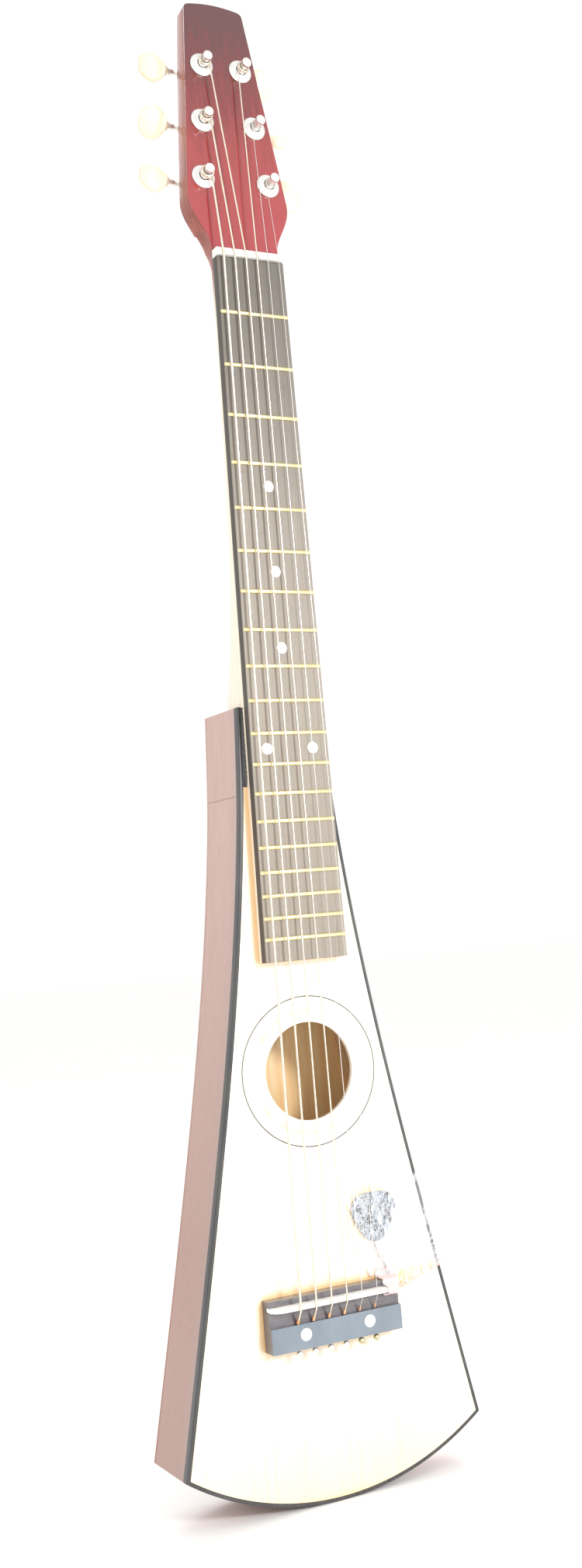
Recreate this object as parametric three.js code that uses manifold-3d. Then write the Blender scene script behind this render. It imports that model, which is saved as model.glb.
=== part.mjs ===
// Flared six-string travel guitar, upright, neck along +Z, strings facing -Y.
// Millimetres. The origin is on the centre line, on the fretboard's face, where it meets the nut.
// "along" is a distance from the nut down the strings, so its z is -along.
import * as THREE from 'three';
import { mergeVertices } from 'three/addons/utils/BufferGeometryUtils.js';
import Module from 'manifold-3d';

const wasm = await Module();
wasm.setup();

// ---------------------------------------------------------------- driving dimensions

const GLUE = 0.1; // glue line between flat faces that touch
const FIT = 0.3; // clearance round pins, in bores and in cut seats

const SCALE = 610; // length of the sounding string
const FRETS = 19;
const NUT_HALF = 22.2; // half width of the fretboard at the nut
const BOARD_FLARE = 6.5; // half width that the board gains over one scale length
const BOARD_END = 419.5;
const BOARD_THICK = 6;

const FRONT = 9.2; // y of the soundboard's face
const BACK = 56.8; // y of the back panel's face
const SHOULDER = 270; // distance from the nut to the body
const CORNER = 696.6; // distance from the nut to the tail corners
const TAIL = 726.5; // distance from the nut to the lowest point
const FLANK = [ // half width of the body at distances from the nut
  [SHOULDER, 27.7],
  [330, 31.2],
  [390, 37.8],
  [450, 46.7],
  [510, 57.4],
  [590, 73.3],
  [CORNER, 95.5],
];
const TOP_THICK = 2.8;
const BACK_THICK = 2.8;
const SIDE_THICK = 2.3;
const BINDING_WIDE = 2.2;
const BINDING_DEEP = 5;
const LINING_WIDE = 5;
const LINING_DEEP = 6;
const HOLE_AT = 484;
const HOLE_RADIUS = 28.3;

const BRIDGE_HALF = 42;
const BRIDGE_FRONT = 607.8;
const BLOCK_FRONT = 622.5;
const BRIDGE_REAR = 636.5;
const DECK_Y = 1.5; // top of the low front part of the bridge
const BLOCK_Y = -1; // top of the string block
const SADDLE_AT = 612.5;
const SADDLE_THICK = 2.8;
const SADDLE_FLOOR = 5.5;
const STRING_HOLE_Y = 0.4;
const STRING_HOLE_RADIUS = 0.95;
const BALL_RADIUS = 1.9;

const HEAD_TILT = THREE.MathUtils.degToRad(6);
const HEAD_DROP = 5; // y of the headstock's face carried down to the nut
const HEAD_THICK = 13.5;
const VENEER = 1.2;
const NUT_THICK = 5.2;
const NECK_DEEP = 13.8;
const HEEL_GROW = 36.2;
const HEEL_START = 110;
const BLOCK_END = 318; // lower end of the block that the body is built on

// tuner positions in the headstock's plane, from the nut end to the tip
const TUNERS = [
  { along: 53.2, across: 21.7 },
  { along: 91.4, across: 17.4 },
  { along: 129.6, across: 13.1 },
];
const ROW_TILT = Math.atan2(TUNERS[0].across - TUNERS[2].across, TUNERS[2].along - TUNERS[0].along);
const ROW_PITCH = (TUNERS[1].along - TUNERS[0].along) / Math.cos(ROW_TILT);

// strings from bass to treble: diameter, side of the headstock, tuner (0 is nearest the nut),
// and how far its button happens to be turned
const STRINGS = [
  { name: 'low_e', size: 1.42, side: -1, tuner: 0, turn: 14 },
  { name: 'a', size: 1.26, side: -1, tuner: 1, turn: -30 },
  { name: 'd', size: 1.1, side: -1, tuner: 2, turn: 5 },
  { name: 'g', size: 0.95, side: 1, tuner: 2, turn: 20 },
  { name: 'b', size: 0.46, side: 1, tuner: 1, turn: -50 },
  { name: 'high_e', size: 0.36, side: 1, tuner: 0, turn: 10 },
];
const NUT_SPACING = 7.4;
const SADDLE_SPACING = 10;
const STRING_Y_NUT = -1.7; // underside of the strings at the nut
const STRING_Y_SADDLE = -4.7; // underside of the strings at the saddle

// one tuner, in its own frame: y is depth behind the headstock's face
const POST_RADIUS = 3;
const POST_WAIST = 2.5;
const POST_TIP = -11.5;
const WRAP_START = -3.9;
const WRAP_TURNS = 2.2;
const JOURNAL_RADIUS = 1.3; // thin end of the post, inside the gear
const BUSHING_SLEEVE = 4.4;
const BUSHING_FLANGE = 7.6;
const PLATE_NEAR = HEAD_THICK + GLUE;
const PLATE_FAR = PLATE_NEAR + 1.2;
const GEAR_TEETH = 14;
const GEAR_RADIUS = 3.2;
const GEAR_NEAR = PLATE_FAR + 3.7;
const GEAR_FAR = GEAR_NEAR + 3;
const WORM_DEPTH = (GEAR_NEAR + GEAR_FAR) / 2;
const WORM_RADIUS = 1.3;
const WORM_OFFSET = GEAR_RADIUS + WORM_RADIUS + FIT; // from the post axis towards the tip
const SHAFT_RADIUS = 1.2;
const LUG_AT = 6;
const BUTTON_AT = 24.1;

const PICK = { x: 34, along: 571, half: 14.5, thick: 0.8, y: 7.4 };
const BAG_CORNERS = [[3, 552], [67, 551], [94.5, 601.2], [44, 617.2], [43, 617.2], [43, 606.8], [28, 606.8]];

// ---------------------------------------------------------------- materials

function paint(color, roughness, metalness = 0) {
  return new THREE.MeshStandardMaterial({ color, roughness, metalness });
}

const spruce = paint(0xe8cf9d, 0.35);
const mahogany = paint(0x7e4a3c, 0.3);
const paleWood = paint(0xd8b98a, 0.4);
const innerWood = paint(0xb98a55, 0.7);
const cherryGloss = paint(0x6d0f14, 0.12);
const blackGloss = paint(0x0d0d0f, 0.2);
const ebonised = paint(0x1c1917, 0.45);
const brass = paint(0xc9a45c, 0.3, 1);
const bone = paint(0xf1ece0, 0.4);
const cream = paint(0xe9dfc6, 0.35);
const nickel = paint(0xc9c8c4, 0.22, 1);
const steel = paint(0xb9b9b7, 0.3, 1);
const pearl = paint(0x8d97a6, 0.25);
const film = paint(0xe8ecee, 0.2);

// ---------------------------------------------------------------- solids

const vec2 = (x, y) => new THREE.Vector2(x, y);

function toSolid(geometry) {
  const bare = geometry.index ? geometry.toNonIndexed() : geometry.clone();
  bare.deleteAttribute('normal');
  bare.deleteAttribute('uv');
  const merged = mergeVertices(bare, 1e-4);
  const vertProperties = new Float32Array(merged.attributes.position.array);
  const triVerts = new Uint32Array(merged.index.array);
  return new wasm.Manifold(new wasm.Mesh({ numProp: 3, vertProperties, triVerts }));
}

function toGeometry(solid) {
  const mesh = solid.getMesh();
  const geometry = new THREE.BufferGeometry();
  geometry.setAttribute('position', new THREE.BufferAttribute(new Float32Array(mesh.vertProperties), 3));
  geometry.setIndex(new THREE.BufferAttribute(new Uint32Array(mesh.triVerts), 1));
  geometry.computeVertexNormals();
  return geometry;
}

function cut(base, ...tools) {
  return toGeometry(tools.reduce((solid, tool) => solid.subtract(toSolid(tool)), toSolid(base)));
}

function join(base, ...others) {
  return toGeometry(others.reduce((solid, other) => solid.add(toSolid(other)), toSolid(base)));
}

function overlap(base, other) {
  return toGeometry(toSolid(base).intersect(toSolid(other)));
}

// takes a list of points or a ready shape
function extrude(outline, depth) {
  const shape = Array.isArray(outline) ? new THREE.Shape(outline) : outline;
  return new THREE.ExtrudeGeometry(shape, { depth, bevelEnabled: false, curveSegments: 6 });
}

// an outline in x and z, given depth from y1 to y2
function prism(outline, y1, y2) {
  return extrude(outline, y2 - y1).rotateX(Math.PI / 2).translate(0, y2, 0);
}

// an outline in x and y, given length along z
function bar(points, z1, z2) {
  return extrude(points, z2 - z1).translate(0, 0, z1);
}

function block(x1, x2, y1, y2, z1, z2) {
  const geometry = new THREE.BoxGeometry(x2 - x1, y2 - y1, z2 - z1);
  return geometry.translate((x1 + x2) / 2, (y1 + y2) / 2, (z1 + z2) / 2);
}

// a round bar along y
function roundY(radius, y1, y2, x = 0, z = 0, sides = 12) {
  return new THREE.CylinderGeometry(radius, radius, y2 - y1, sides).translate(x, (y1 + y2) / 2, z);
}

// a profile of [radius, y] pairs turned about the y axis, its outer side listed from high y to low
function turned(profile, sides) {
  return new THREE.LatheGeometry(profile.map(([r, y]) => vec2(r, y)).reverse(), sides);
}

// ---------------------------------------------------------------- body outline

const FLANK_STEPS = 10;
const TAIL_STEPS = 12;
const flank = new THREE.SplineCurve(FLANK.map(([along, half]) => vec2(half, -along)));

function flankHalf(along) {
  const points = flank.getPoints(60);
  const i = Math.max(1, points.findIndex((p) => -p.y >= along));
  const [a, b] = [points[i - 1], points[i]];
  return THREE.MathUtils.mapLinear(-along, a.y, b.y, a.x, b.x);
}

// the curved tail, from the treble corner to the bass corner
function tailPoints() {
  const half = FLANK.at(-1)[1];
  const rise = TAIL - CORNER;
  const radius = (half ** 2 + rise ** 2) / (2 * rise);
  const sweep = Math.asin(half / radius);
  return Array.from({ length: TAIL_STEPS + 1 }, (_, i) => {
    const a = sweep * (1 - (2 * i) / TAIL_STEPS);
    return vec2(radius * Math.sin(a), radius - TAIL - radius * Math.cos(a));
  });
}

// clockwise from the treble shoulder, round the tail, to the bass shoulder
function bodyOutline() {
  const treble = flank.getPoints(FLANK_STEPS);
  const bass = treble.map((p) => vec2(-p.x, p.y)).reverse();
  return [...treble, ...tailPoints().slice(1, -1), ...bass];
}

// the clockwise outline moved inward by one wall, its shoulder edge kept at a given distance
function innerOutline(wall, shoulder = SHOULDER) {
  const points = bodyOutline();
  const moved = points.map((p, i) => {
    const before = points.at(i - 1);
    const after = points[(i + 1) % points.length];
    const a = p.clone().sub(before).normalize();
    const b = after.clone().sub(p).normalize();
    const inwardA = vec2(a.y, -a.x);
    const middle = inwardA.clone().add(vec2(b.y, -b.x)).normalize();
    return p.clone().addScaledVector(middle, wall / middle.dot(inwardA));
  });
  moved[0].y = -shoulder;
  moved.at(-1).y = -shoulder;
  return moved;
}

// ---------------------------------------------------------------- body pieces

const TOP_UNDER = FRONT + TOP_THICK + GLUE;
const BACK_INNER = BACK - BACK_THICK - GLUE;
const SIDE_FRONT = FRONT + BINDING_DEEP + GLUE;
const INSIDE = SIDE_THICK + GLUE;

function soundboard() {
  const plate = prism(innerOutline(BINDING_WIDE + GLUE), FRONT, FRONT + TOP_THICK);
  return cut(plate, roundY(HOLE_RADIUS, FRONT - 1, TOP_UNDER + 1, 0, -HOLE_AT, 40));
}

// edge strip let into the front of the sides, on both flanks and round the tail
function binding() {
  const y2 = FRONT + BINDING_DEEP;
  const outer = prism(bodyOutline(), FRONT, y2);
  return cut(outer, prism(innerOutline(BINDING_WIDE, SHOULDER - 10), FRONT - 1, y2 + 1));
}

function backPanel() {
  return prism(bodyOutline(), BACK - BACK_THICK, BACK);
}

// the wall between two points of the outline, counted clockwise
function sideWall(first, last) {
  const outer = bodyOutline().slice(first, last + 1);
  const inner = innerOutline(SIDE_THICK).slice(first, last + 1);
  return [...outer, ...inner.reverse()];
}

function flankSide(sign) {
  const wall = sideWall(0, FLANK_STEPS);
  // lifts the mitred end clear of the tail's
  wall[FLANK_STEPS].y += FIT;
  wall[FLANK_STEPS + 1].y += FIT;
  return prism(wall.map((p) => vec2(sign * p.x, p.y)), SIDE_FRONT, BACK_INNER);
}

function tailSide() {
  return prism(sideWall(FLANK_STEPS, FLANK_STEPS + TAIL_STEPS), SIDE_FRONT, BACK_INNER);
}

function tailBlock() {
  const inside = prism(innerOutline(INSIDE), TOP_UNDER + LINING_DEEP + GLUE, BACK_INNER - LINING_DEEP - GLUE);
  return overlap(inside, block(-30, 30, 0, BACK, -TAIL, -706));
}

// glue strip round the inside corner, stopping at the neck block
function lining(y1, y2) {
  const outer = prism(innerOutline(INSIDE), y1, y2);
  const inner = prism(innerOutline(INSIDE + LINING_WIDE, SHOULDER - 10), y1 - 1, y2 + 1);
  return cut(outer, inner, block(-60, 60, y1 - 1, y2 + 1, -BLOCK_END - FIT, 0));
}

// a bar across the body with tapered ends, glued along its edge at y1
function brace(along, y1, deep) {
  const half = flankHalf(along) - INSIDE - LINING_WIDE - 1.5;
  const taper = 14;
  const points = [
    vec2(-half, y1),
    vec2(half, y1),
    vec2(half, y1 + deep * 0.35),
    vec2(half - taper, y1 + deep),
    vec2(-half + taper, y1 + deep),
    vec2(-half, y1 + deep * 0.35),
  ];
  return bar(points, -along - 4, -along + 4);
}

function bridgePlate() {
  return block(-50, 50, TOP_UNDER, TOP_UNDER + 2.5, -648, -600);
}

// ---------------------------------------------------------------- fretboard and frets

function boardHalf(along) {
  return NUT_HALF + (BOARD_FLARE * along) / SCALE;
}

function boardOutline(from, to) {
  return [
    vec2(boardHalf(from), -from),
    vec2(boardHalf(to), -to),
    vec2(-boardHalf(to), -to),
    vec2(-boardHalf(from), -from),
  ];
}

function fretAt(n) {
  return SCALE * (1 - 2 ** (-n / 12));
}

const FRET_NUMBERS = Array.from({ length: FRETS }, (_, i) => i + 1);
const CROWN_HALF = 1.25;
const CROWN_HIGH = 1.2;
const CROWN_GAP = 0.04;
const TANG_HALF = 0.3;
const TANG_DEEP = 2.4;
const SPINE_HALF = 0.6;
const SPINE_Y = 1.5;

function fretboard() {
  const board = prism(boardOutline(0, BOARD_END), 0, BOARD_THICK);
  const slotHalf = TANG_HALF + FIT / 2;
  const slots = FRET_NUMBERS.map((n) => block(
    -40, 40, -1, TANG_DEEP + FIT, -fretAt(n) - slotHalf, -fretAt(n) + slotHalf,
  ));
  const half = SPINE_HALF + FIT;
  const channel = block(-half, half, SPINE_Y - FIT, BOARD_THICK + 1, -fretAt(FRETS) - 1, -fretAt(1) + 1);
  return cut(board, ...slots, channel);
}

// a domed wire with its tang, across the board
function fretWire(n) {
  const half = boardHalf(fretAt(n)) - FIT;
  const section = new THREE.Shape();
  section.absellipse(0, -CROWN_GAP, CROWN_HALF, CROWN_HIGH - CROWN_GAP, 0, Math.PI, true);
  section.lineTo(-TANG_HALF, -CROWN_GAP);
  section.lineTo(-TANG_HALF, TANG_DEEP);
  section.lineTo(TANG_HALF, TANG_DEEP);
  section.lineTo(TANG_HALF, -CROWN_GAP);
  const settings = { depth: 2 * half, bevelEnabled: false, curveSegments: 2 };
  const wire = new THREE.ExtrudeGeometry(section, settings);
  return wire.rotateY(Math.PI / 2).translate(-half, 0, -fretAt(n));
}

// all the wires, held together by a thin spine hidden in the board's channel
function frets() {
  const spine = block(-SPINE_HALF, SPINE_HALF, SPINE_Y, TANG_DEEP - FIT, -fretAt(FRETS), -fretAt(1));
  return join(spine, ...FRET_NUMBERS.map(fretWire));
}

// ---------------------------------------------------------------- nut, saddle and bridge

function stringX(i, spacing) {
  return (i - 2.5) * spacing;
}

function nut() {
  const seat = BOARD_THICK - GLUE;
  const profile = [
    vec2(GLUE, seat),
    vec2(GLUE, -2.5),
    vec2(1.4, -2.6),
    vec2(NUT_THICK, -0.4),
    vec2(NUT_THICK, seat),
  ];
  const body = extrude(profile, 2 * NUT_HALF).rotateY(-Math.PI / 2).translate(NUT_HALF, 0, 0);
  const slots = STRINGS.map(({ size }, i) => {
    const x = stringX(i, NUT_SPACING);
    const half = size / 2 + FIT;
    return block(x - half, x + half, -4, STRING_Y_NUT + 0.5, -1, NUT_THICK + 1);
  });
  return cut(body, ...slots);
}

function saddle() {
  const top = STRING_Y_SADDLE + FIT;
  const end = BRIDGE_HALF - 0.5;
  const shoulder = 7;
  const seat = SADDLE_FLOOR - GLUE;
  const profile = [
    vec2(-end, seat),
    vec2(-end, DECK_Y - 0.8),
    vec2(-end + shoulder / 3, top + 1.6),
    vec2(-end + shoulder, top),
    vec2(end - shoulder, top),
    vec2(end - shoulder / 3, top + 1.6),
    vec2(end, DECK_Y - 0.8),
    vec2(end, seat),
  ];
  return bar(profile, -SADDLE_AT - SADDLE_THICK / 2, -SADDLE_AT + SADDLE_THICK / 2);
}

function bridge() {
  const seat = FRONT - GLUE;
  const deck = block(-BRIDGE_HALF, BRIDGE_HALF, DECK_Y, seat, -BRIDGE_REAR, -BRIDGE_FRONT);
  const tie = block(-BRIDGE_HALF, BRIDGE_HALF, BLOCK_Y, seat, -BRIDGE_REAR, -BLOCK_FRONT);
  const slotHalf = SADDLE_THICK / 2 + GLUE;
  const slot = block(-60, 60, -9, SADDLE_FLOOR, -SADDLE_AT - slotHalf, -SADDLE_AT + slotHalf);
  const holes = STRINGS.map((_, i) => {
    const hole = roundY(STRING_HOLE_RADIUS, -14, 14, 0, 0, 10).rotateX(Math.PI / 2);
    return hole.translate(stringX(i, SADDLE_SPACING), STRING_HOLE_Y, -BRIDGE_REAR + 2);
  });
  return cut(join(deck, tie), slot, ...holes);
}

// ---------------------------------------------------------------- neck and headstock

const HEEL_END = SHOULDER - GLUE;
const NECK_TOP = BOARD_THICK + GLUE;
const NECK_STATIONS = [-5.1, 40, 110, 145, 175, 200, 220, 237, 252, 263, HEEL_END];
const HEAD_ROOT = [[-20, 10], [-5.7, 8]]; // sections buried in the headstock, and the y of their flat side

function neckDepth(along) {
  const t = Math.max(0, (along - HEEL_START) / (HEEL_END - HEEL_START));
  return NECK_DEEP + HEEL_GROW * t ** 2.2;
}

// half a superellipse, its flat side towards the fretboard
function neckSection(along, top = NECK_TOP) {
  const steps = 12;
  const power = 2 / 2.4;
  const half = boardHalf(along) - GLUE - 0.06 * Math.max(0, -along);
  const deep = NECK_TOP + neckDepth(along) - top;
  return Array.from({ length: steps + 1 }, (_, i) => {
    const a = (Math.PI * i) / steps;
    const x = half * Math.sign(Math.cos(a)) * Math.abs(Math.cos(a)) ** power;
    return new THREE.Vector3(x, top + deep * Math.sin(a) ** power, -along);
  });
}

// skins a list of matching rings and closes both ends
function loft(rings) {
  const count = rings[0].length;
  const last = rings.length - 1;
  const corners = [];
  for (let r = 0; r < last; r += 1) {
    for (let i = 0; i < count; i += 1) {
      const j = (i + 1) % count;
      corners.push(rings[r][i], rings[r + 1][i], rings[r][j]);
      corners.push(rings[r][j], rings[r + 1][i], rings[r + 1][j]);
    }
  }
  for (let i = 1; i < count - 1; i += 1) {
    corners.push(rings[0][0], rings[0][i], rings[0][i + 1]);
    corners.push(rings[last][0], rings[last][i + 1], rings[last][i]);
  }
  return new THREE.BufferGeometry().setFromPoints(corners);
}

// the headstock's outline in its own plane, from the nut to the tip and back, with its tuner bores
function headShape() {
  const side = new THREE.Path();
  side.moveTo(20.6, -2);
  side.lineTo(22.3, 8);
  side.bezierCurveTo(22.6, 19, 32.6, 27, 33.4, 39);
  side.quadraticCurveTo(33.6, 42.5, 32.9, 47);
  side.lineTo(19.9, 168.5);
  side.quadraticCurveTo(19.5, 171, 16.5, 171.7);
  side.quadraticCurveTo(8.5, 173.3, 0, 173.4);
  const right = side.getPoints(4);
  const left = right.slice(0, -1).map((p) => vec2(-p.x, p.y)).reverse();
  const shape = new THREE.Shape([...right, ...left]);
  shape.holes = TUNERS.flatMap(({ across, along }) => [-across, across].map((x) => (
    new THREE.Path().absarc(x, along, BUSHING_SLEEVE + FIT, 0, 2 * Math.PI)
  )));
  return shape;
}

function leanHead(geometry) {
  return geometry.rotateX(-HEAD_TILT).translate(0, HEAD_DROP, 0);
}

// shaft, heel, headstock, the tongue under the fretboard and the block inside the body, in one piece
function neck() {
  const root = HEAD_ROOT.map(([along, top]) => neckSection(along, top));
  const shaft = loft([...root, ...NECK_STATIONS.map((along) => neckSection(along))]);
  const nutSeat = block(-40, 40, -20, NECK_TOP, -60, NUT_THICK + FIT);
  const head = cut(leanHead(prism(headShape(), VENEER + GLUE, HEAD_THICK)), nutSeat);
  const tongue = prism(boardOutline(HEEL_END - 4, BOARD_END), NECK_TOP, FRONT - GLUE);
  const inside = prism(innerOutline(INSIDE), TOP_UNDER, BACK_INNER);
  const bodyBlock = overlap(inside, block(-60, 60, 0, BACK, -BLOCK_END, -SHOULDER - FIT));
  const tenon = block(-18, 18, TOP_UNDER, 46, -SHOULDER - 5, -HEEL_END + 4);
  return join(shaft, head, tongue, tenon, bodyBlock);
}

function headFace() {
  return cut(prism(headShape(), 0, VENEER), block(-40, 40, -5, 5, -5, NUT_THICK + 0.8));
}

// ---------------------------------------------------------------- tuners
// In a tuner's frame x points away from the centre line, y is depth and z lies along the row.
// "hand" is 1 on the treble side and -1 on the bass side, where z runs towards the nut.

function bushing() {
  const bore = POST_RADIUS + FIT;
  return turned([
    [bore, 9], [BUSHING_SLEEVE, 9], [BUSHING_SLEEVE, -GLUE], [BUSHING_FLANGE, -GLUE], [BUSHING_FLANGE, -0.8],
    [6.4, -1.9], [4.4, -2.6], [bore, -2.4], [bore, 9],
  ], 12);
}

function stringPost() {
  return turned([
    [0, GEAR_FAR + 1.8], [2, GEAR_FAR + 1.8], [2.4, GEAR_FAR + FIT], [JOURNAL_RADIUS, GEAR_FAR + FIT],
    [JOURNAL_RADIUS, GEAR_NEAR - 0.6], [POST_RADIUS, GEAR_NEAR - 0.6], [POST_RADIUS, -2.9], [POST_WAIST, -3.4],
    [POST_WAIST, -8.9], [POST_RADIUS, -9.4], [POST_RADIUS, POST_TIP + 0.7], [2.3, POST_TIP], [0, POST_TIP],
  ], 8);
}

function gear() {
  const outline = Array.from({ length: 2 * GEAR_TEETH }, (_, i) => {
    const radius = i % 2 ? GEAR_RADIUS : GEAR_RADIUS - 0.7;
    const a = (Math.PI * i) / GEAR_TEETH;
    return vec2(radius * Math.cos(a), radius * Math.sin(a));
  });
  return cut(prism(outline, GEAR_NEAR, GEAR_FAR), roundY(JOURNAL_RADIUS + FIT, 0, 40, 0, 0, 10));
}

// worm and shaft along x, the middle of the worm over the gear
function wormShaft() {
  const shaft = turned([
    [0, BUTTON_AT + 2], [SHAFT_RADIUS, BUTTON_AT + 2], [SHAFT_RADIUS, 4.7], [WORM_RADIUS, 4.4],
    [WORM_RADIUS, -4.4], [SHAFT_RADIUS, -4.7], [SHAFT_RADIUS, -LUG_AT - 1.7], [0, -LUG_AT - 1.7],
  ], 8);
  return shaft.rotateZ(-Math.PI / 2);
}

// an oval knob, thinner than it is wide, bored part way for the shaft
function button() {
  const knob = turned([
    [0, 9.9], [5, 8.9], [8.7, 5.3], [10.4, 0.9], [9.3, -3.2], [5.8, -6.7], [3.1, -8.2], [2.9, -9.2], [0, -9.2],
  ], 10);
  knob.scale(1, 1, 0.4).rotateZ(-Math.PI / 2).rotateX(Math.PI / 2).translate(BUTTON_AT, 0, 0);
  const bore = roundY(SHAFT_RADIUS + FIT, -12, 0, 0, 0, 8).rotateZ(-Math.PI / 2);
  return cut(knob, bore.translate(BUTTON_AT + 2 + FIT, 0, 0));
}

// one plate for three tuners, with two bearing lugs for each worm shaft
function tunerPlate(hand) {
  const spots = [-ROW_PITCH, 0, ROW_PITCH];
  const ends = [-hand * (ROW_PITCH + 9), hand * (ROW_PITCH + 13)];
  const sheet = block(-8.2, 8.6, PLATE_NEAR, PLATE_FAR, Math.min(...ends), Math.max(...ends));
  const lugs = spots.flatMap((z) => [-LUG_AT, LUG_AT].map((x) => {
    const middle = z + hand * WORM_OFFSET;
    return block(x - 0.9, x + 0.9, PLATE_FAR - 0.5, WORM_DEPTH + 2.6, middle - 2.4, middle + 2.4);
  }));
  const bores = spots.map((z) => roundY(POST_RADIUS + FIT, 0, 30, 0, z));
  const shaftHoles = spots.map((z) => {
    const hole = roundY(SHAFT_RADIUS + FIT, -20, 20, 0, 0, 10).rotateZ(Math.PI / 2);
    return hole.translate(0, WORM_DEPTH, z + hand * WORM_OFFSET);
  });
  return cut(join(sheet, ...lugs), ...bores, ...shaftHoles);
}

// ---------------------------------------------------------------- strings

// a path through given stations, so that each bend keeps its place
class StationPath extends THREE.Curve {
  constructor(points) {
    super();
    this.points = points;
  }

  getPointAt(t) {
    return this.points[Math.round(t * (this.points.length - 1))].clone();
  }

  getTangentAt(t, target = new THREE.Vector3()) {
    const i = Math.round(t * (this.points.length - 1));
    const before = this.points[Math.max(0, i - 1)];
    const after = this.points[Math.min(this.points.length - 1, i + 1)];
    return target.subVectors(after, before).normalize();
  }
}

function wire(points, radius, sides = 5) {
  const section = new THREE.Shape(Array.from({ length: sides }, (_, i) => {
    const a = (2 * Math.PI * i) / sides;
    return vec2(radius * Math.cos(a), radius * Math.sin(a));
  }));
  const extrudePath = new StationPath(points);
  return new THREE.ExtrudeGeometry(section, { steps: points.length - 1, extrudePath, bevelEnabled: false });
}

// turns round the post, from the inner side where the string arrives, rising towards the tip
function wraps({ side, size }, spot, start, radius) {
  const count = Math.round(WRAP_TURNS * 7);
  return Array.from({ length: count + 1 }, (_, i) => {
    const turn = (i / count) * WRAP_TURNS;
    const a = start - side * turn * 2 * Math.PI;
    const point = new THREE.Vector3(
      side * spot.across + radius * Math.cos(a),
      WRAP_START - size / 2 - turn * (size + 0.2),
      spot.along + radius * Math.sin(a),
    );
    return point.applyAxisAngle(new THREE.Vector3(1, 0, 0), -HEAD_TILT).add(new THREE.Vector3(0, HEAD_DROP, 0));
  });
}

// ball end, bridge hole, saddle, nut, then the inner side of the string's own post
function stringRoute(string, i) {
  const radius = string.size / 2;
  const spot = TUNERS[string.tuner];
  const xSaddle = stringX(i, SADDLE_SPACING);
  const xNut = stringX(i, NUT_SPACING);
  const wrapRadius = POST_WAIST + FIT + radius;
  const dx = string.side * spot.across - xNut;
  const dz = spot.along - NUT_THICK;
  const swing = Math.acos(wrapRadius / Math.hypot(dx, dz));
  const start = Math.atan2(dz, dx) + Math.PI - string.side * swing;
  return [
    new THREE.Vector3(xSaddle, STRING_HOLE_Y, -BRIDGE_REAR - FIT - BALL_RADIUS),
    new THREE.Vector3(xSaddle, STRING_HOLE_Y, -BLOCK_FRONT + 0.3),
    new THREE.Vector3(xSaddle, STRING_Y_SADDLE - radius + 0.2, -SADDLE_AT - 2.1),
    new THREE.Vector3(xSaddle, STRING_Y_SADDLE - radius, -SADDLE_AT + 0.8),
    new THREE.Vector3(xNut, STRING_Y_NUT - radius, 0),
    new THREE.Vector3(xNut, STRING_Y_NUT - radius, 1.5),
    ...wraps(string, spot, start, wrapRadius),
  ];
}

function guitarString(string, i) {
  const route = stringRoute(string, i);
  const ball = new THREE.SphereGeometry(BALL_RADIUS, 7, 5).translate(...route[0].toArray());
  return join(wire(route, string.size / 2), ball);
}

// ---------------------------------------------------------------- plectrum in its bag

// a rounded triangle with its point towards the tail
function pickOutline(grow = 0) {
  const { x, along, half } = PICK;
  return Array.from({ length: 24 }, (_, i) => {
    const a = (2 * Math.PI * i) / 24;
    const radius = half * (0.98 + 0.1 * Math.sin(3 * a)) + grow;
    return vec2(x + radius * Math.cos(a), -along + radius * Math.sin(a));
  });
}

function pick() {
  return prism(pickOutline(), PICK.y, PICK.y + PICK.thick);
}

// the bag is a thin closed slab here, open where it holds the plectrum
function pickBag() {
  const slab = prism(BAG_CORNERS.map(([x, along]) => vec2(x, -along)), PICK.y - GLUE, PICK.y + PICK.thick + GLUE);
  return cut(slab, prism(pickOutline(FIT), 0, FRONT));
}

// ---------------------------------------------------------------- assembly

const guitar = new THREE.Group();

function add(name, geometry, material, parent = guitar) {
  const mesh = new THREE.Mesh(geometry, material);
  mesh.name = name;
  parent.add(mesh);
  return mesh;
}

function addBody() {
  add('soundboard', soundboard(), spruce);
  add('binding', binding(), blackGloss);
  add('back_panel', backPanel(), mahogany);
  add('bass_side', flankSide(-1), mahogany);
  add('treble_side', flankSide(1), mahogany);
  add('tail_side', tailSide(), mahogany);
  add('tail_block', tailBlock(), innerWood);
  add('front_lining', lining(TOP_UNDER, TOP_UNDER + LINING_DEEP), innerWood);
  add('back_lining', lining(BACK_INNER - LINING_DEEP, BACK_INNER), innerWood);
  add('upper_brace', brace(435, TOP_UNDER, 9), innerWood);
  add('lower_brace', brace(532, TOP_UNDER, 9), innerWood);
  add('back_brace', brace(545, BACK_INNER, -9), innerWood);
  add('bridge_plate', bridgePlate(), innerWood);
}

function addNeck(head) {
  add('neck', neck(), paleWood);
  add('headstock_face', headFace(), cherryGloss, head);
  add('fretboard', fretboard(), ebonised);
  add('frets', frets(), brass);
  add('nut', nut(), bone);
}

function addBridge() {
  add('bridge', bridge(), blackGloss);
  add('saddle', saddle(), bone);
}

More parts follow.
